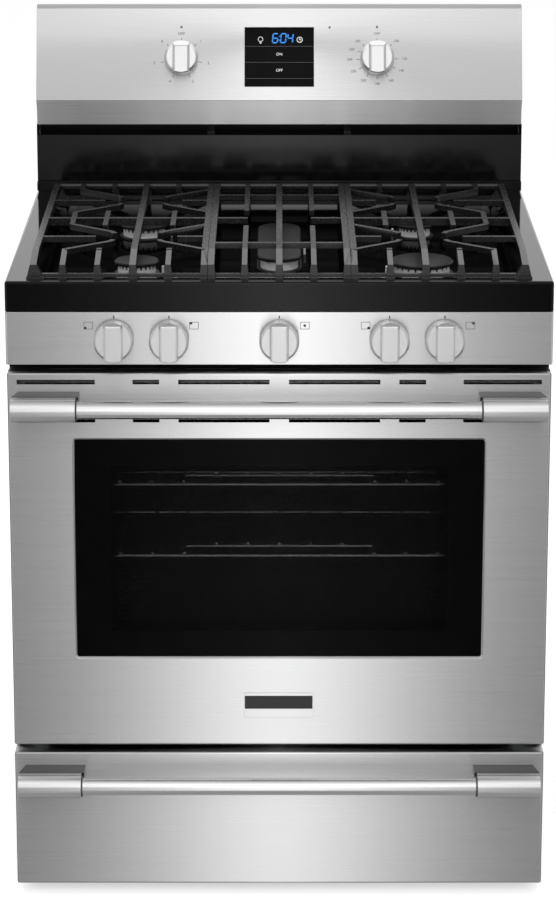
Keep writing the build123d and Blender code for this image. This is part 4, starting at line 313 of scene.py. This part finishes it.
def board_finish():
    """Circuit board: green lacquer with a pattern of paler tracks."""
    mat, tree, shader = new_material("board")
    value = grain(tree, (500, 500, 500))
    tracks = tree.nodes.new("ShaderNodeTexBrick")
    tree.links.new(place(tree), tracks.inputs["Vector"])
    for socket, number in (("Scale", 160.0), ("Mortar Size", 0.06)):
        tracks.inputs[socket].default_value = number
    tracks.inputs["Color1"].default_value = (0.012, 0.075, 0.030, 1)
    tracks.inputs["Color2"].default_value = (0.016, 0.090, 0.038, 1)
    tracks.inputs["Mortar"].default_value = (0.06, 0.17, 0.08, 1)
    tree.links.new(tracks.outputs["Color"], shader.inputs["Base Color"])
    tree.links.new(spread(tree, value, 0.26, 0.38), shader.inputs["Roughness"])
    return mat


board = board_finish()

PORT_ALPHA = 0.48
PORT_FADE = 0.004


def window_glass():
    """Outer door glass: black ceramic border, a soft edge, and a tinted port that shows the oven dimly."""
    mat, tree, shader = new_material("window_glass")
    split = node(tree, "ShaderNodeSeparateXYZ", {"Vector": place(tree)})
    across = math(tree, "ABSOLUTE", split.outputs["X"], None)
    down = math(tree, "ABSOLUTE", math(tree, "SUBTRACT", split.outputs["Z"], WINDOW_MIDDLE), None)
    edge = math(tree, "MAXIMUM", math(tree, "SUBTRACT", across, VIEW_PORT[0]),
                math(tree, "SUBTRACT", down, VIEW_PORT[1]))
    clear = spread(tree, edge, PORT_ALPHA, 1.0, -PORT_FADE, PORT_FADE)
    tree.links.new(clear, shader.inputs["Alpha"])
    value = grain(tree, (30, 30, 30))
    tree.links.new(shade(tree, value, grey(0.0014), grey(0.0020)), shader.inputs["Base Color"])
    tree.links.new(spread(tree, value, 0.02, 0.05), shader.inputs["Roughness"])
    shader.inputs["Specular IOR Level"].default_value = 0.03
    return mat


door_glass = window_glass()
display_glass = surface("display_glass", grey(0.0016), grey(0.0026), (0.03, 0.07), (40, 40, 40),
                        Specular_IOR_Level=0.03)
clear_glass = surface("clear_glass", (0.10, 0.11, 0.11), (0.13, 0.14, 0.14), (0.02, 0.05), (30, 30, 30),
                      Alpha=0.10, Specular_IOR_Level=0.20)
lamp_glass = surface("lamp_glass", (0.70, 0.71, 0.72), (0.80, 0.81, 0.82), (0.06, 0.12), (120, 120, 120),
                     Alpha=0.45)


def glowing(name, low, high, strength):
    """A lit mark: the same colour on the face and in its glow."""
    mat, tree, shader = new_material(name)
    colour = shade(tree, grain(tree, (400, 400, 400)), low, high)
    tree.links.new(colour, shader.inputs["Base Color"])
    tree.links.new(colour, shader.inputs["Emission Color"])
    shader.inputs["Emission Strength"].default_value = strength
    return mat


clock_blue = glowing("clock_blue", (0.006, 0.13, 0.46), (0.010, 0.17, 0.54), 0.75)
icon_white = glowing("icon_white", grey(0.55), grey(0.65), 0.35)

finishes = {
    "stainless": stainless, "knob_metal": knob_metal, "black_porcelain": porcelain, "body_paint": body_paint,
    "oven_enamel": oven_enamel, "galvanised": galvanised, "grate_iron": grate_iron,
    "burner_alloy": burner_alloy, "cap_enamel": cap_enamel, "rack_chrome": chrome, "brass": brass,
    "valve_alloy": valve_alloy, "tube_aluminium": tube_aluminium, "dark_glass": display_glass,
    "clear_glass": clear_glass, "insulation_wool": wool, "foot_plastic": foot_plastic, "rubber": rubber,
    "igniter_ceramic": ceramic, "board": board, "motor_paint": motor_paint}
own_finish = {"cooktop": cooktop_porcelain, "door_skin": door_steel, "drawer_front": drawer_steel,
              "rear_riser": riser_enamel, "fan_rotor": oven_enamel, "door_window": door_glass,
              "oven_lamp": lamp_glass, "burner_heads": crown_alloy, "rear_panel": rear_sheet,
              "flue_duct": duct_sheet,
              "door_handle_bar": handle_metal, "drawer_handle_bar": handle_metal,
              "door_handle_brackets": bracket_metal, "drawer_handle_brackets": bracket_metal}

for row in frame["record"]["subparts"]:
    name = row.get("node") or row["name"]
    mesh = frame["nodes"][name].data
    mesh.materials.clear()
    mesh.materials.append(own_finish.get(name, finishes[row["material_slot"]]))


# Soft edges on the solids
WELD_GAP = 0.00001


def soften(name, width, segments=2, angle=35):
    obj = frame["nodes"][name]
    weld = obj.modifiers.new("weld", "WELD")
    weld.merge_threshold = WELD_GAP
    bevel = obj.modifiers.new("bevel", "BEVEL")
    bevel.width = width
    bevel.segments = segments
    bevel.limit_method = "ANGLE"
    bevel.angle_limit = radians(angle)
    bevel.harden_normals = True


for name in ("left_grate", "centre_grate", "right_grate"):
    soften(name, 0.0018, 3)
for name in ("door_skin", "drawer_front", "manifold_panel", "backguard_panel", "rear_riser",
             "display_window"):
    soften(name, 0.0006)
for knob in (*PANEL_KNOBS, "mode", "temperature"):
    soften(knob + "_knob", 0.0005)
soften("cooktop", 0.0020, 3, 50)


# Flat marks
def disc(x, y, radius, steps=24):
    angles = [2 * pi * i / steps for i in range(steps)]
    return [(x + radius * cos(angle), y + radius * sin(angle)) for angle in angles]


def line(x0, y0, x1, y1, width):
    along = Vector((x1 - x0, y1 - y0)).normalized()
    side = Vector((-along.y, along.x)) * width / 2
    start, end = Vector((x0, y0)), Vector((x1, y1))
    return [tuple(corner) for corner in (start - side, end - side, end + side, start + side)]


def frame_lines(x, y, width, height, stroke):
    left, right, low, high = x - width / 2, x + width / 2, y - height / 2, y + height / 2
    half = stroke / 2
    return [line(left - half, low, right + half, low, stroke),
            line(left - half, high, right + half, high, stroke),
            line(left, low + half, left, high - half, stroke),
            line(right, low + half, right, high - half, stroke)]


def raise_outline(bm, outline, depth, matrix):
    low = [bm.verts.new(matrix @ Vector((x, y, 0))) for x, y in outline]
    high = [bm.verts.new(matrix @ Vector((x, y, depth))) for x, y in outline]
    bm.faces.new(low[::-1])
    bm.faces.new(high)
    for i in range(len(outline)):
        j = (i + 1) % len(outline)
        bm.faces.new((low[i], low[j], high[j], high[i]))


def raise_ring(bm, outer, inner, depth, matrix):
    loops = [[bm.verts.new(matrix @ Vector((x, y, z))) for x, y in loop]
             for loop in (outer, inner) for z in (0, depth)]
    count = len(outer)
    for i in range(count):
        j = (i + 1) % count
        for a, b in ((0, 1), (1, 3), (3, 2), (2, 0)):
            bm.faces.new((loops[a][i], loops[a][j], loops[b][j], loops[b][i]))


def keep(bm, name, finish, body, smooth=False):
    bmesh.ops.recalc_face_normals(bm, faces=bm.faces)
    mesh = bpy.data.meshes.new(name)
    bm.to_mesh(mesh)
    bm.free()
    for face in mesh.polygons:
        face.use_smooth = smooth
    mesh.materials.append(finish)
    obj = bpy.data.objects.new(name, mesh)
    bpy.context.scene.collection.objects.link(obj)
    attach(obj, body)
    return obj


def marks(name, outlines, matrix, finish, body, depth=PRINT_DEPTH):
    bm = bmesh.new()
    for outline in outlines:
        raise_outline(bm, outline, depth, matrix)
    return keep(bm, name, finish, body)


# Burner marks on the manifold panel: a square per knob with a dot at the burner's place
SQUARE = (0.0122, 0.0098)
SQUARE_STROKE = 0.0008
DOT_RADIUS, DOT_REACH = 0.0019, 0.34
TICK_IN, TICK_OUT, TICK_WIDTH = 0.0285, 0.0326, 0.0017
burner_mark_x = {"left_front": -0.2643, "left_rear": -0.1180, "centre": 0.0353, "right_front": 0.1195,
                 "right_rear": 0.2644}
dot_corner = {"left_front": (-1, -1), "left_rear": (-1, 1), "centre": (0, 0), "right_front": (1, -1),
              "right_rear": (1, 1)}
MARK_Z = 0.8512
for knob, x in burner_mark_x.items():
    across, up = dot_corner[knob]
    dot = disc(across * SQUARE[0] * DOT_REACH, up * SQUARE[1] * DOT_REACH, DOT_RADIUS)
    marks(knob + "_burner_mark", frame_lines(0, 0, *SQUARE, SQUARE_STROKE), on_front(x, MARK_Z), pale_mark,
          "chassis")
    marks(knob + "_burner_dot", [dot], on_front(x, MARK_Z), mark_ink, "chassis")
    marks(knob + "_zero_tick", [line(0, TICK_IN, 0, TICK_OUT, TICK_WIDTH)],
          on_front(PANEL_KNOBS[knob], PANEL_KNOB_Z), mark_ink, "chassis")

# Dial marks on the backguard
DIAL_IN, DIAL_OUT = 0.0275, 0.0325
DIAL_STROKE = 0.0008
DIAL_TEXT, DIAL_TEXT_WIDER = 0.0395, 1.08
GUARD_KNOB_UP = -0.007


def letter(bm, text, size, matrix):
    """Adds a plain number or word, centred on the matrix and raised from its plane."""
    curve = bpy.data.curves.new("letter", "FONT")
    curve.body = text
    curve.size = size
    curve.align_x = curve.align_y = "CENTER"
    curve.extrude = PRINT_DEPTH / 2
    carrier = bpy.data.objects.new("letter", curve)
    mesh = bpy.data.meshes.new_from_object(carrier)
    mesh.transform(matrix @ Matrix.Translation((0, 0, PRINT_DEPTH / 2)))
    bm.from_mesh(mesh)
    bpy.data.objects.remove(carrier)
    bpy.data.meshes.remove(mesh)


def dial(name, x, angles, numbers, text_size):
    bm = bmesh.new()
    matrix = on_guard(x, GUARD_KNOB_UP)
    for angle, number in zip(angles, numbers):
        toward = Vector((sin(radians(angle)), cos(radians(angle))))
        tick = line(*(toward * DIAL_IN), *(toward * DIAL_OUT), DIAL_STROKE)
        raise_outline(bm, tick, PRINT_DEPTH, matrix)
        text_place = (toward.x * DIAL_TEXT * DIAL_TEXT_WIDER, toward.y * DIAL_TEXT, 0)
        letter(bm, str(number), text_size, matrix @ Matrix.Translation(text_place))
    return keep(bm, name, mark_ink, "chassis")


mode_angles = (45, 100, 155, 205, 260, 315)
temperature_angles = (45, 90, 118, 150, 180, 210, 240, 268, 292, 315)
dial("mode_dial_marks", -GUARD_KNOB_X, (0, *mode_angles), ("OFF", *range(1, 7)), 0.0062)
dial("temperature_dial_marks", GUARD_KNOB_X, (0, *temperature_angles), ("OFF", *range(100, 300, 20)),
     0.0056)

# Clock, two signs and rules on the display glass
SEGMENTS = {"0": "abcdef", "4": "bcfg", "6": "acdefg"}
DIGIT = (0.0078, 0.0142)
STROKE = 0.0019
SLANT = 0.10


def digit(number, x, y):
    w, h, s = DIGIT[0] / 2, DIGIT[1] / 2, STROKE * 0.35
    bars = {"a": (-w + s, h, w - s, h), "d": (-w + s, -h, w - s, -h), "g": (-w + s, 0, w - s, 0),
            "b": (w, s, w, h - s), "c": (w, -h + s, w, -s), "e": (-w, -h + s, -w, -s),
            "f": (-w, s, -w, h - s)}
    made = [line(*bars[key], STROKE) for key in SEGMENTS[number]]
    return [[(x + px + SLANT * py, y + py) for px, py in bar] for bar in made]


glass_out = max((v.co - guard_middle).dot(guard_out) for v in frame["nodes"]["display_window"].data.vertices)
CLOCK_Y = 0.0254
clock = digit("6", -0.0085, 0) + digit("0", 0.0042, 0) + digit("4", 0.0150, 0)
clock += [disc(-0.0022, 0.0030, 0.0010, 12), disc(-0.0026, -0.0030, 0.0010, 12)]
marks("clock_digits", clock, on_guard(0.0022, CLOCK_Y, glass_out), clock_blue, "chassis")
rules = [line(-0.0533, y, 0.0533, y, 0.0007) for y in (0.0126, -0.0127, -0.0380)]
marks("display_rules", rules, on_guard(0, 0, glass_out), ink_and_painted_shade, "chassis")

bm = bmesh.new()
for word, up in (("ON", 0.0000), ("OFF", -0.0254)):
    letter(bm, word, 0.0062, on_guard(0, up, glass_out))
keep(bm, "display_words", icon_white, "chassis")

bm = bmesh.new()
timer = on_guard(0.0318, 0.0230, glass_out)
raise_ring(bm, disc(0, 0, 0.0046), disc(0, 0, 0.0037), PRINT_DEPTH, timer)
hands = [(0.0005, 0.0026), (0.0005, 0.0005), (0.0022, 0.0005), (0.0022, -0.0005), (-0.0005, -0.0005),
         (-0.0005, 0.0026)]
raise_outline(bm, hands, PRINT_DEPTH, timer)
keep(bm, "timer_sign", icon_white, "chassis")
bm = bmesh.new()
bulb = on_guard(-0.0292, 0.0230, glass_out)
raise_ring(bm, disc(0, 0.0008, 0.0040), disc(0, 0.0008, 0.0032), PRINT_DEPTH, bulb)
raise_outline(bm, line(-0.0016, -0.0042, 0.0016, -0.0042, 0.0009), PRINT_DEPTH, bulb)
raise_outline(bm, line(-0.0010, -0.0056, 0.0010, -0.0056, 0.0009), PRINT_DEPTH, bulb)
keep(bm, "lamp_sign", icon_white, "chassis")


# Turned details
def turned(bm, profile, matrix, steps=24):
    rings = [[bm.verts.new(matrix @ Vector((x, y, z))) for x, y in disc(0, 0, radius, steps)]
             for radius, z in profile]
    for low, high in zip(rings, rings[1:]):
        for i in range(steps):
            j = (i + 1) % steps
            bm.faces.new((low[i], low[j], high[j], high[i]))
    bm.faces.new(rings[0][::-1])
    bm.faces.new(rings[-1])


LENS = ((0.0019, 0.0), (0.0019, 0.0003), (0.0013, 0.0008), (0.0006, 0.0010))
for name, x, up in (("mode_light", -GUARD_KNOB_X, 0.0432), ("temperature_light", GUARD_KNOB_X, 0.0432),
                    ("preheat_light", 0.0785, 0.0425)):
    bm = bmesh.new()
    turned(bm, LENS, on_guard(x, up), 16)
    keep(bm, name, pale_mark, "chassis", smooth=True)


# Screws in the rear sheets and along the foot of the sides
SCREW = ((0.0042, 0.0), (0.0042, 0.0008), (0.0034, 0.0018), (0.0014, 0.0022))
SCREW_STEPS = 12
SCREW_EDGE, SCREW_TOP, SCREW_FOOT = 0.366, 1.175, 0.045
rear_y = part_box("rear_panel")[1][1]
rear_places = [(x, z) for z in (0.22, 0.40, 0.58, 0.76, 0.94, 1.12) for x in (-SCREW_EDGE, SCREW_EDGE)]
rear_places += [(x, SCREW_TOP) for x in (-0.24, -0.08, 0.08, 0.24)]
bm = bmesh.new()
for x, z in rear_places:
    turned(bm, SCREW, facing(Vector((x, rear_y, z)), (0, 0, 1), (0, 1, 0)), SCREW_STEPS)
keep(bm, "rear_screws", galvanised, "chassis", smooth=True)
side_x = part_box("side_panels")[1][0]
bm = bmesh.new()
for side in (-1, 1):
    for y in (-0.20, 0.05, 0.30):
        screw_place = Vector((side * side_x, y, SCREW_FOOT))
        turned(bm, SCREW, facing(screw_place, (0, 0, 1), (side, 0, 0)), SCREW_STEPS)
keep(bm, "side_screws", galvanised, "chassis", smooth=True)

# Dark rings where the handle bars enter their brackets: painted shadow in the gap
SEAM_X, SEAM_WIDTH, SEAM_RISE, SEAM_SINK = 0.2808, 0.0020, 0.0024, 0.0002
SEAM_STEPS = 32
for handle in ("door", "drawer"):
    low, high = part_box(handle + "_handle_bar")
    radius = (high[2] - low[2]) / 2
    middle = Vector((0, (low[1] + high[1]) / 2, (low[2] + high[2]) / 2))
    bm = bmesh.new()
    for start in (-SEAM_X, SEAM_X - SEAM_WIDTH):
        place_on_bar = facing(middle + Vector((start, 0, 0)), (0, 0, 1), (1, 0, 0))
        raise_ring(bm, disc(0, 0, radius + SEAM_RISE, SEAM_STEPS), disc(0, 0, radius - SEAM_SINK, SEAM_STEPS),
                   SEAM_WIDTH, place_on_bar)
    keep(bm, handle + "_handle_seam_shadows", ink_and_painted_shade, handle)

# Dark strips round the crowns of the round burners: painted shade standing in for the dark openings of the
# ports
CROWN_TOP, PORT_DROP, PORT_WIDTH, PORTS = 0.9049, 0.0050, 0.0028, 24
CROWNS = {"left_front": (-0.203, -0.153, 0.027), "left_rear": (-0.203, 0.088, 0.031),
          "right_front": (0.203, -0.153, 0.040), "right_rear": (0.203, 0.088, 0.023)}
for burner, (x, y, radius) in CROWNS.items():
    bm = bmesh.new()
    for i in range(PORTS):
        angle = 2 * pi * i / PORTS
        out = Vector((cos(angle), sin(angle), 0))
        raise_outline(bm, line(0, -PORT_DROP, 0, 0, PORT_WIDTH), 2 * PRINT_DEPTH,
                      facing(Vector((x, y, CROWN_TOP)) + out * (radius - PRINT_DEPTH), (0, 0, 1), out))
    keep(bm, burner + "_burner_port_shades", ink_and_painted_shade, "chassis")


# Lower lip of the backguard, leaning face of the riser and rear tie bars of the grates
def prism(name, profile, reach, finish, body, edge):
    """A long piece across the range: profile is y and z, reach is the x of its two ends."""
    bm = bmesh.new()
    ends = [[bm.verts.new((x, y, z)) for y, z in profile] for x in reach]
    bm.faces.new(ends[0])
    bm.faces.new(ends[1][::-1])
    for i in range(len(profile)):
        j = (i + 1) % len(profile)
        bm.faces.new((ends[0][i], ends[1][i], ends[1][j], ends[0][j]))
    obj = keep(bm, name, finish, body)
    bevel = obj.modifiers.new("bevel", "BEVEL")
    bevel.width = edge
    bevel.segments = 2


END_GAP = 0.0008


def reach_of(name):
    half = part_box(name)[1][0] - END_GAP
    return (-half, half)


LIP_BOTTOM, LIP_BACK, LIP_LEAN = 1.0185, 0.0236, 0.0030
crease_y, crease_z = GUARD_CREASE.y, GUARD_CREASE.z
prism("guard_lip", [(crease_y + 0.0003, crease_z - 0.0006), (crease_y + LIP_LEAN, LIP_BOTTOM),
                    (crease_y + LIP_BACK, LIP_BOTTOM)], reach_of("backguard_panel"), stainless, "chassis",
      0.0003)

RISER_FACE, RISER_TOP, RISER_FOOT, RISER_LEAN = 0.3135, 0.9990, 0.9282, 0.0050
prism("riser_face", [(RISER_FACE - 0.0003, RISER_TOP), (RISER_FACE - RISER_LEAN, RISER_FOOT),
                     (RISER_FACE - 0.0001, RISER_FOOT)], reach_of("rear_riser"), riser_enamel, "chassis",
      0.0002)

TIE_FRONT, TIE_REAR, TIE_FOOT, TIE_TOP = 0.2292, 0.2394, 0.9290, 0.9385
tie = [(TIE_FRONT, TIE_FOOT), (TIE_REAR, TIE_FOOT), (TIE_REAR, TIE_TOP), (TIE_FRONT, TIE_TOP)]
for name, reach in (("left_grate", (-0.3448, -0.0998)), ("centre_grate", (-0.0986, 0.0986)),
                    ("right_grate", (0.0998, 0.3448))):
    prism(name + "_tie_bar", tie, reach, grate_iron, name, 0.0028)


# Bare badge plate on the door
def rounded(width, height, corner, steps=5):
    points = []
    for cx, cy, start in ((1, 1, 0), (-1, 1, 90), (-1, -1, 180), (1, -1, 270)):
        for i in range(steps + 1):
            angle = radians(start + 90 * i / steps)
            points.append((cx * (width / 2 - corner) + corner * cos(angle),
                           cy * (height / 2 - corner) + corner * sin(angle)))
    return points


BADGE_X, BADGE_Z = -0.0009, 0.2926
BADGE_DEPTH, FIELD_DEPTH, FIELD_UP = 0.0012, 0.0002, 0.0046
badge = marks("badge_plate", [rounded(0.0985, 0.0372, 0.0010)], on_front(BADGE_X, BADGE_Z), stainless,
              "door", depth=BADGE_DEPTH)
bevel = badge.modifiers.new("bevel", "BEVEL")
bevel.width = 0.0004
bevel.segments = 2
marks("badge_field", [rounded(0.0965, 0.0196, 0.0006)], on_front(BADGE_X, BADGE_Z + FIELD_UP, BADGE_DEPTH),
      body_paint, "door", depth=FIELD_DEPTH)

# Floor, reflector cards, world and lights
scene = bpy.context.scene


def stage_plane(name, corners, mat):
    mesh = bpy.data.meshes.new(name)
    mesh.from_pydata(corners, [], [(0, 1, 2, 3)])
    mesh.materials.append(mat)
    obj = bpy.data.objects.new(name, mesh)
    scene.collection.objects.link(obj)
    return obj


def seen_directly(tree):
    path = tree.nodes.new("ShaderNodeLightPath")
    seen = math(tree, "MAXIMUM", path.outputs["Is Camera Ray"], path.outputs["Is Glossy Ray"])
    return math(tree, "MAXIMUM", seen, path.outputs["Is Transmission Ray"])


FLOOR_COLOUR = 0.86
mat, tree, shader = new_material("floor")
shader.inputs["Base Color"].default_value = (FLOOR_COLOUR, FLOOR_COLOUR, FLOOR_COLOUR, 1)
shader.inputs["Roughness"].default_value = 0.9
shader.inputs["Specular IOR Level"].default_value = 0.0
shader.inputs["Emission Color"].default_value = (1, 1, 1, 1)
FLOOR_GLOW = 0.50
tree.links.new(math(tree, "MULTIPLY", seen_directly(tree), FLOOR_GLOW), shader.inputs["Emission Strength"])
FLOOR = 30.0
floor_corners = [(-FLOOR, -FLOOR, 0), (FLOOR, -FLOOR, 0), (FLOOR, FLOOR, 0), (-FLOOR, FLOOR, 0)]
floor = stage_plane("floor", floor_corners, mat)
floor.visible_glossy = False

CARD_STRENGTH = 2.8
CARD_FRONT, CARD_REAR, CARD_SIDE, CARD_LOW, CARD_HIGH = -3.2, 3.0, 3.0, -3.0, 4.0


def reflector(name, corners, axis, start, stops):
    """A card that only reflections see; stops are the way from start along an axis, and the level there."""
    mat, tree, shader = new_material(name)
    split = node(tree, "ShaderNodeSeparateXYZ", {"Vector": place(tree)})
    away = math(tree, "ABSOLUTE", math(tree, "SUBTRACT", split.outputs[axis], start), None)
    span = stops[-1][0]
    ramp = node(tree, "ShaderNodeValToRGB", {"Fac": math(tree, "DIVIDE", away, span)})
    while len(ramp.color_ramp.elements) < len(stops):
        ramp.color_ramp.elements.new(0.5)
    for element, (where, level) in zip(ramp.color_ramp.elements, stops):
        element.position = where / span
        element.color = (*grey(level / CARD_STRENGTH), 1)
    shader.inputs["Base Color"].default_value = (0, 0, 0, 1)
    shader.inputs["Specular IOR Level"].default_value = 0.0
    tree.links.new(ramp.outputs["Color"], shader.inputs["Emission Color"])
    shader.inputs["Emission Strength"].default_value = CARD_STRENGTH
    card = stage_plane(name, corners, mat)
    for ray in ("camera", "diffuse", "transmission", "shadow", "volume_scatter"):
        setattr(card, "visible_" + ray, False)


def front_card(name, low, high, stops):
    reflector(name, [(-CARD_SIDE, CARD_FRONT, low), (CARD_SIDE, CARD_FRONT, low),
                     (CARD_SIDE, CARD_FRONT, high), (-CARD_SIDE, CARD_FRONT, high)], "X", 0, stops)


def flat_card(name, z, stops):
    reflector(name, [(-CARD_SIDE, CARD_FRONT, z), (CARD_SIDE, CARD_FRONT, z), (CARD_SIDE, CARD_REAR, z),
                     (-CARD_SIDE, CARD_REAR, z)], "Y", CARD_FRONT, stops)


def side_card(name, x, stops):
    reflector(name, [(x, CARD_FRONT, CARD_LOW), (x, CARD_REAR, CARD_LOW), (x, CARD_REAR, CARD_HIGH),
                     (x, CARD_FRONT, CARD_HIGH)], "Y", CARD_FRONT, stops)


FRONT_BAND = (-1.8, 0.7)
front_card("front_card", *FRONT_BAND, ((0.0, 2.15), (0.07, 1.87), (0.14, 1.50), (0.28, 0.95), (0.42, 0.56),
                                       (0.52, 0.37), (0.62, 0.24), (0.80, 0.17), (1.10, 0.30), (1.7, 0.8),
                                       (3.0, 1.0)))
front_card("low_card", CARD_LOW, FRONT_BAND[0], ((0.0, 0.50), (0.6, 0.40), (3.0, 0.5)))
HIGH_BAND = 3.1
front_card("high_card", FRONT_BAND[1], HIGH_BAND, ((0.0, 2.75), (0.17, 2.25), (0.33, 1.48), (0.50, 0.99),
                                                   (0.65, 0.81), (1.0, 0.74), (3.0, 0.8)))
front_card("upper_card", HIGH_BAND, CARD_HIGH, ((0.0, 1.35), (1.0, 1.16), (3.0, 0.9)))
flat_card("floor_card", CARD_LOW, ((0.0, 0.35), (6.2, 0.35)))
flat_card("top_card", CARD_HIGH, ((0.0, 1.25), (1.2, 0.95), (2.2, 0.62), (3.2, 0.52), (6.2, 0.52)))
for name, x in (("left_card", -CARD_SIDE), ("right_card", CARD_SIDE)):
    side_card(name, x, ((0.0, 1.0), (1.4, 0.90), (2.3, 0.55), (3.3, 0.45), (4.7, 0.6), (6.2, 0.8)))

BACK_HALF, BACK_Y, BACK_Z, BACK_LEVEL = 0.9, 0.55, (1.25, 2.35), 1.6
reflector("back_card", [(-BACK_HALF, BACK_Y, BACK_Z[0]), (BACK_HALF, BACK_Y, BACK_Z[0]),
                        (BACK_HALF, BACK_Y, BACK_Z[1]), (-BACK_HALF, BACK_Y, BACK_Z[1])], "X", 0,
          ((0.0, BACK_LEVEL), (BACK_HALF, BACK_LEVEL)))

world = bpy.data.worlds.new("studio")
scene.world = world
world.use_nodes = True
tree = world.node_tree
background = tree.nodes["Background"]
background.inputs["Color"].default_value = (1, 1, 1, 1)
AMBIENT = 0.55
tree.links.new(spread(tree, seen_directly(tree), AMBIENT, 1.0, 0.0, 1.0), background.inputs["Strength"])


def softbox(name, location, target, size, power):
    light = bpy.data.lights.new(name, "AREA")
    light.shape = "RECTANGLE"
    light.size, light.size_y = size
    light.energy = power
    obj = bpy.data.objects.new(name, light)
    obj.location = location
    obj.rotation_euler = (Vector(target) - Vector(location)).to_track_quat("-Z", "Y").to_euler()
    scene.collection.objects.link(obj)
    obj.visible_glossy = False
    return obj


softbox("overhead", (0, -0.6, 3.4), (0, 0, 0.6), (3.0, 1.6), 60)
softbox("front_left", (-2.4, -3.4, 2.6), (0, 0, 0.6), (1.6, 1.6), 45)
softbox("front_right", (2.4, -3.4, 2.6), (0, 0, 0.6), (1.6, 1.6), 35)

# Camera
CAMERA_PLACE = (0, -4.4658, 1.9311)
CAMERA_TILT = 76.484
data = bpy.data.cameras.new("camera")
data.lens = 124.33
data.sensor_width = 36.0
data.shift_x = -0.0014
data.shift_y = -0.2
camera = bpy.data.objects.new("camera", data)
camera.location = CAMERA_PLACE
camera.rotation_euler = (radians(CAMERA_TILT), 0, 0)
scene.collection.objects.link(camera)
scene.camera = camera
scene.view_settings.view_transform = "Standard"
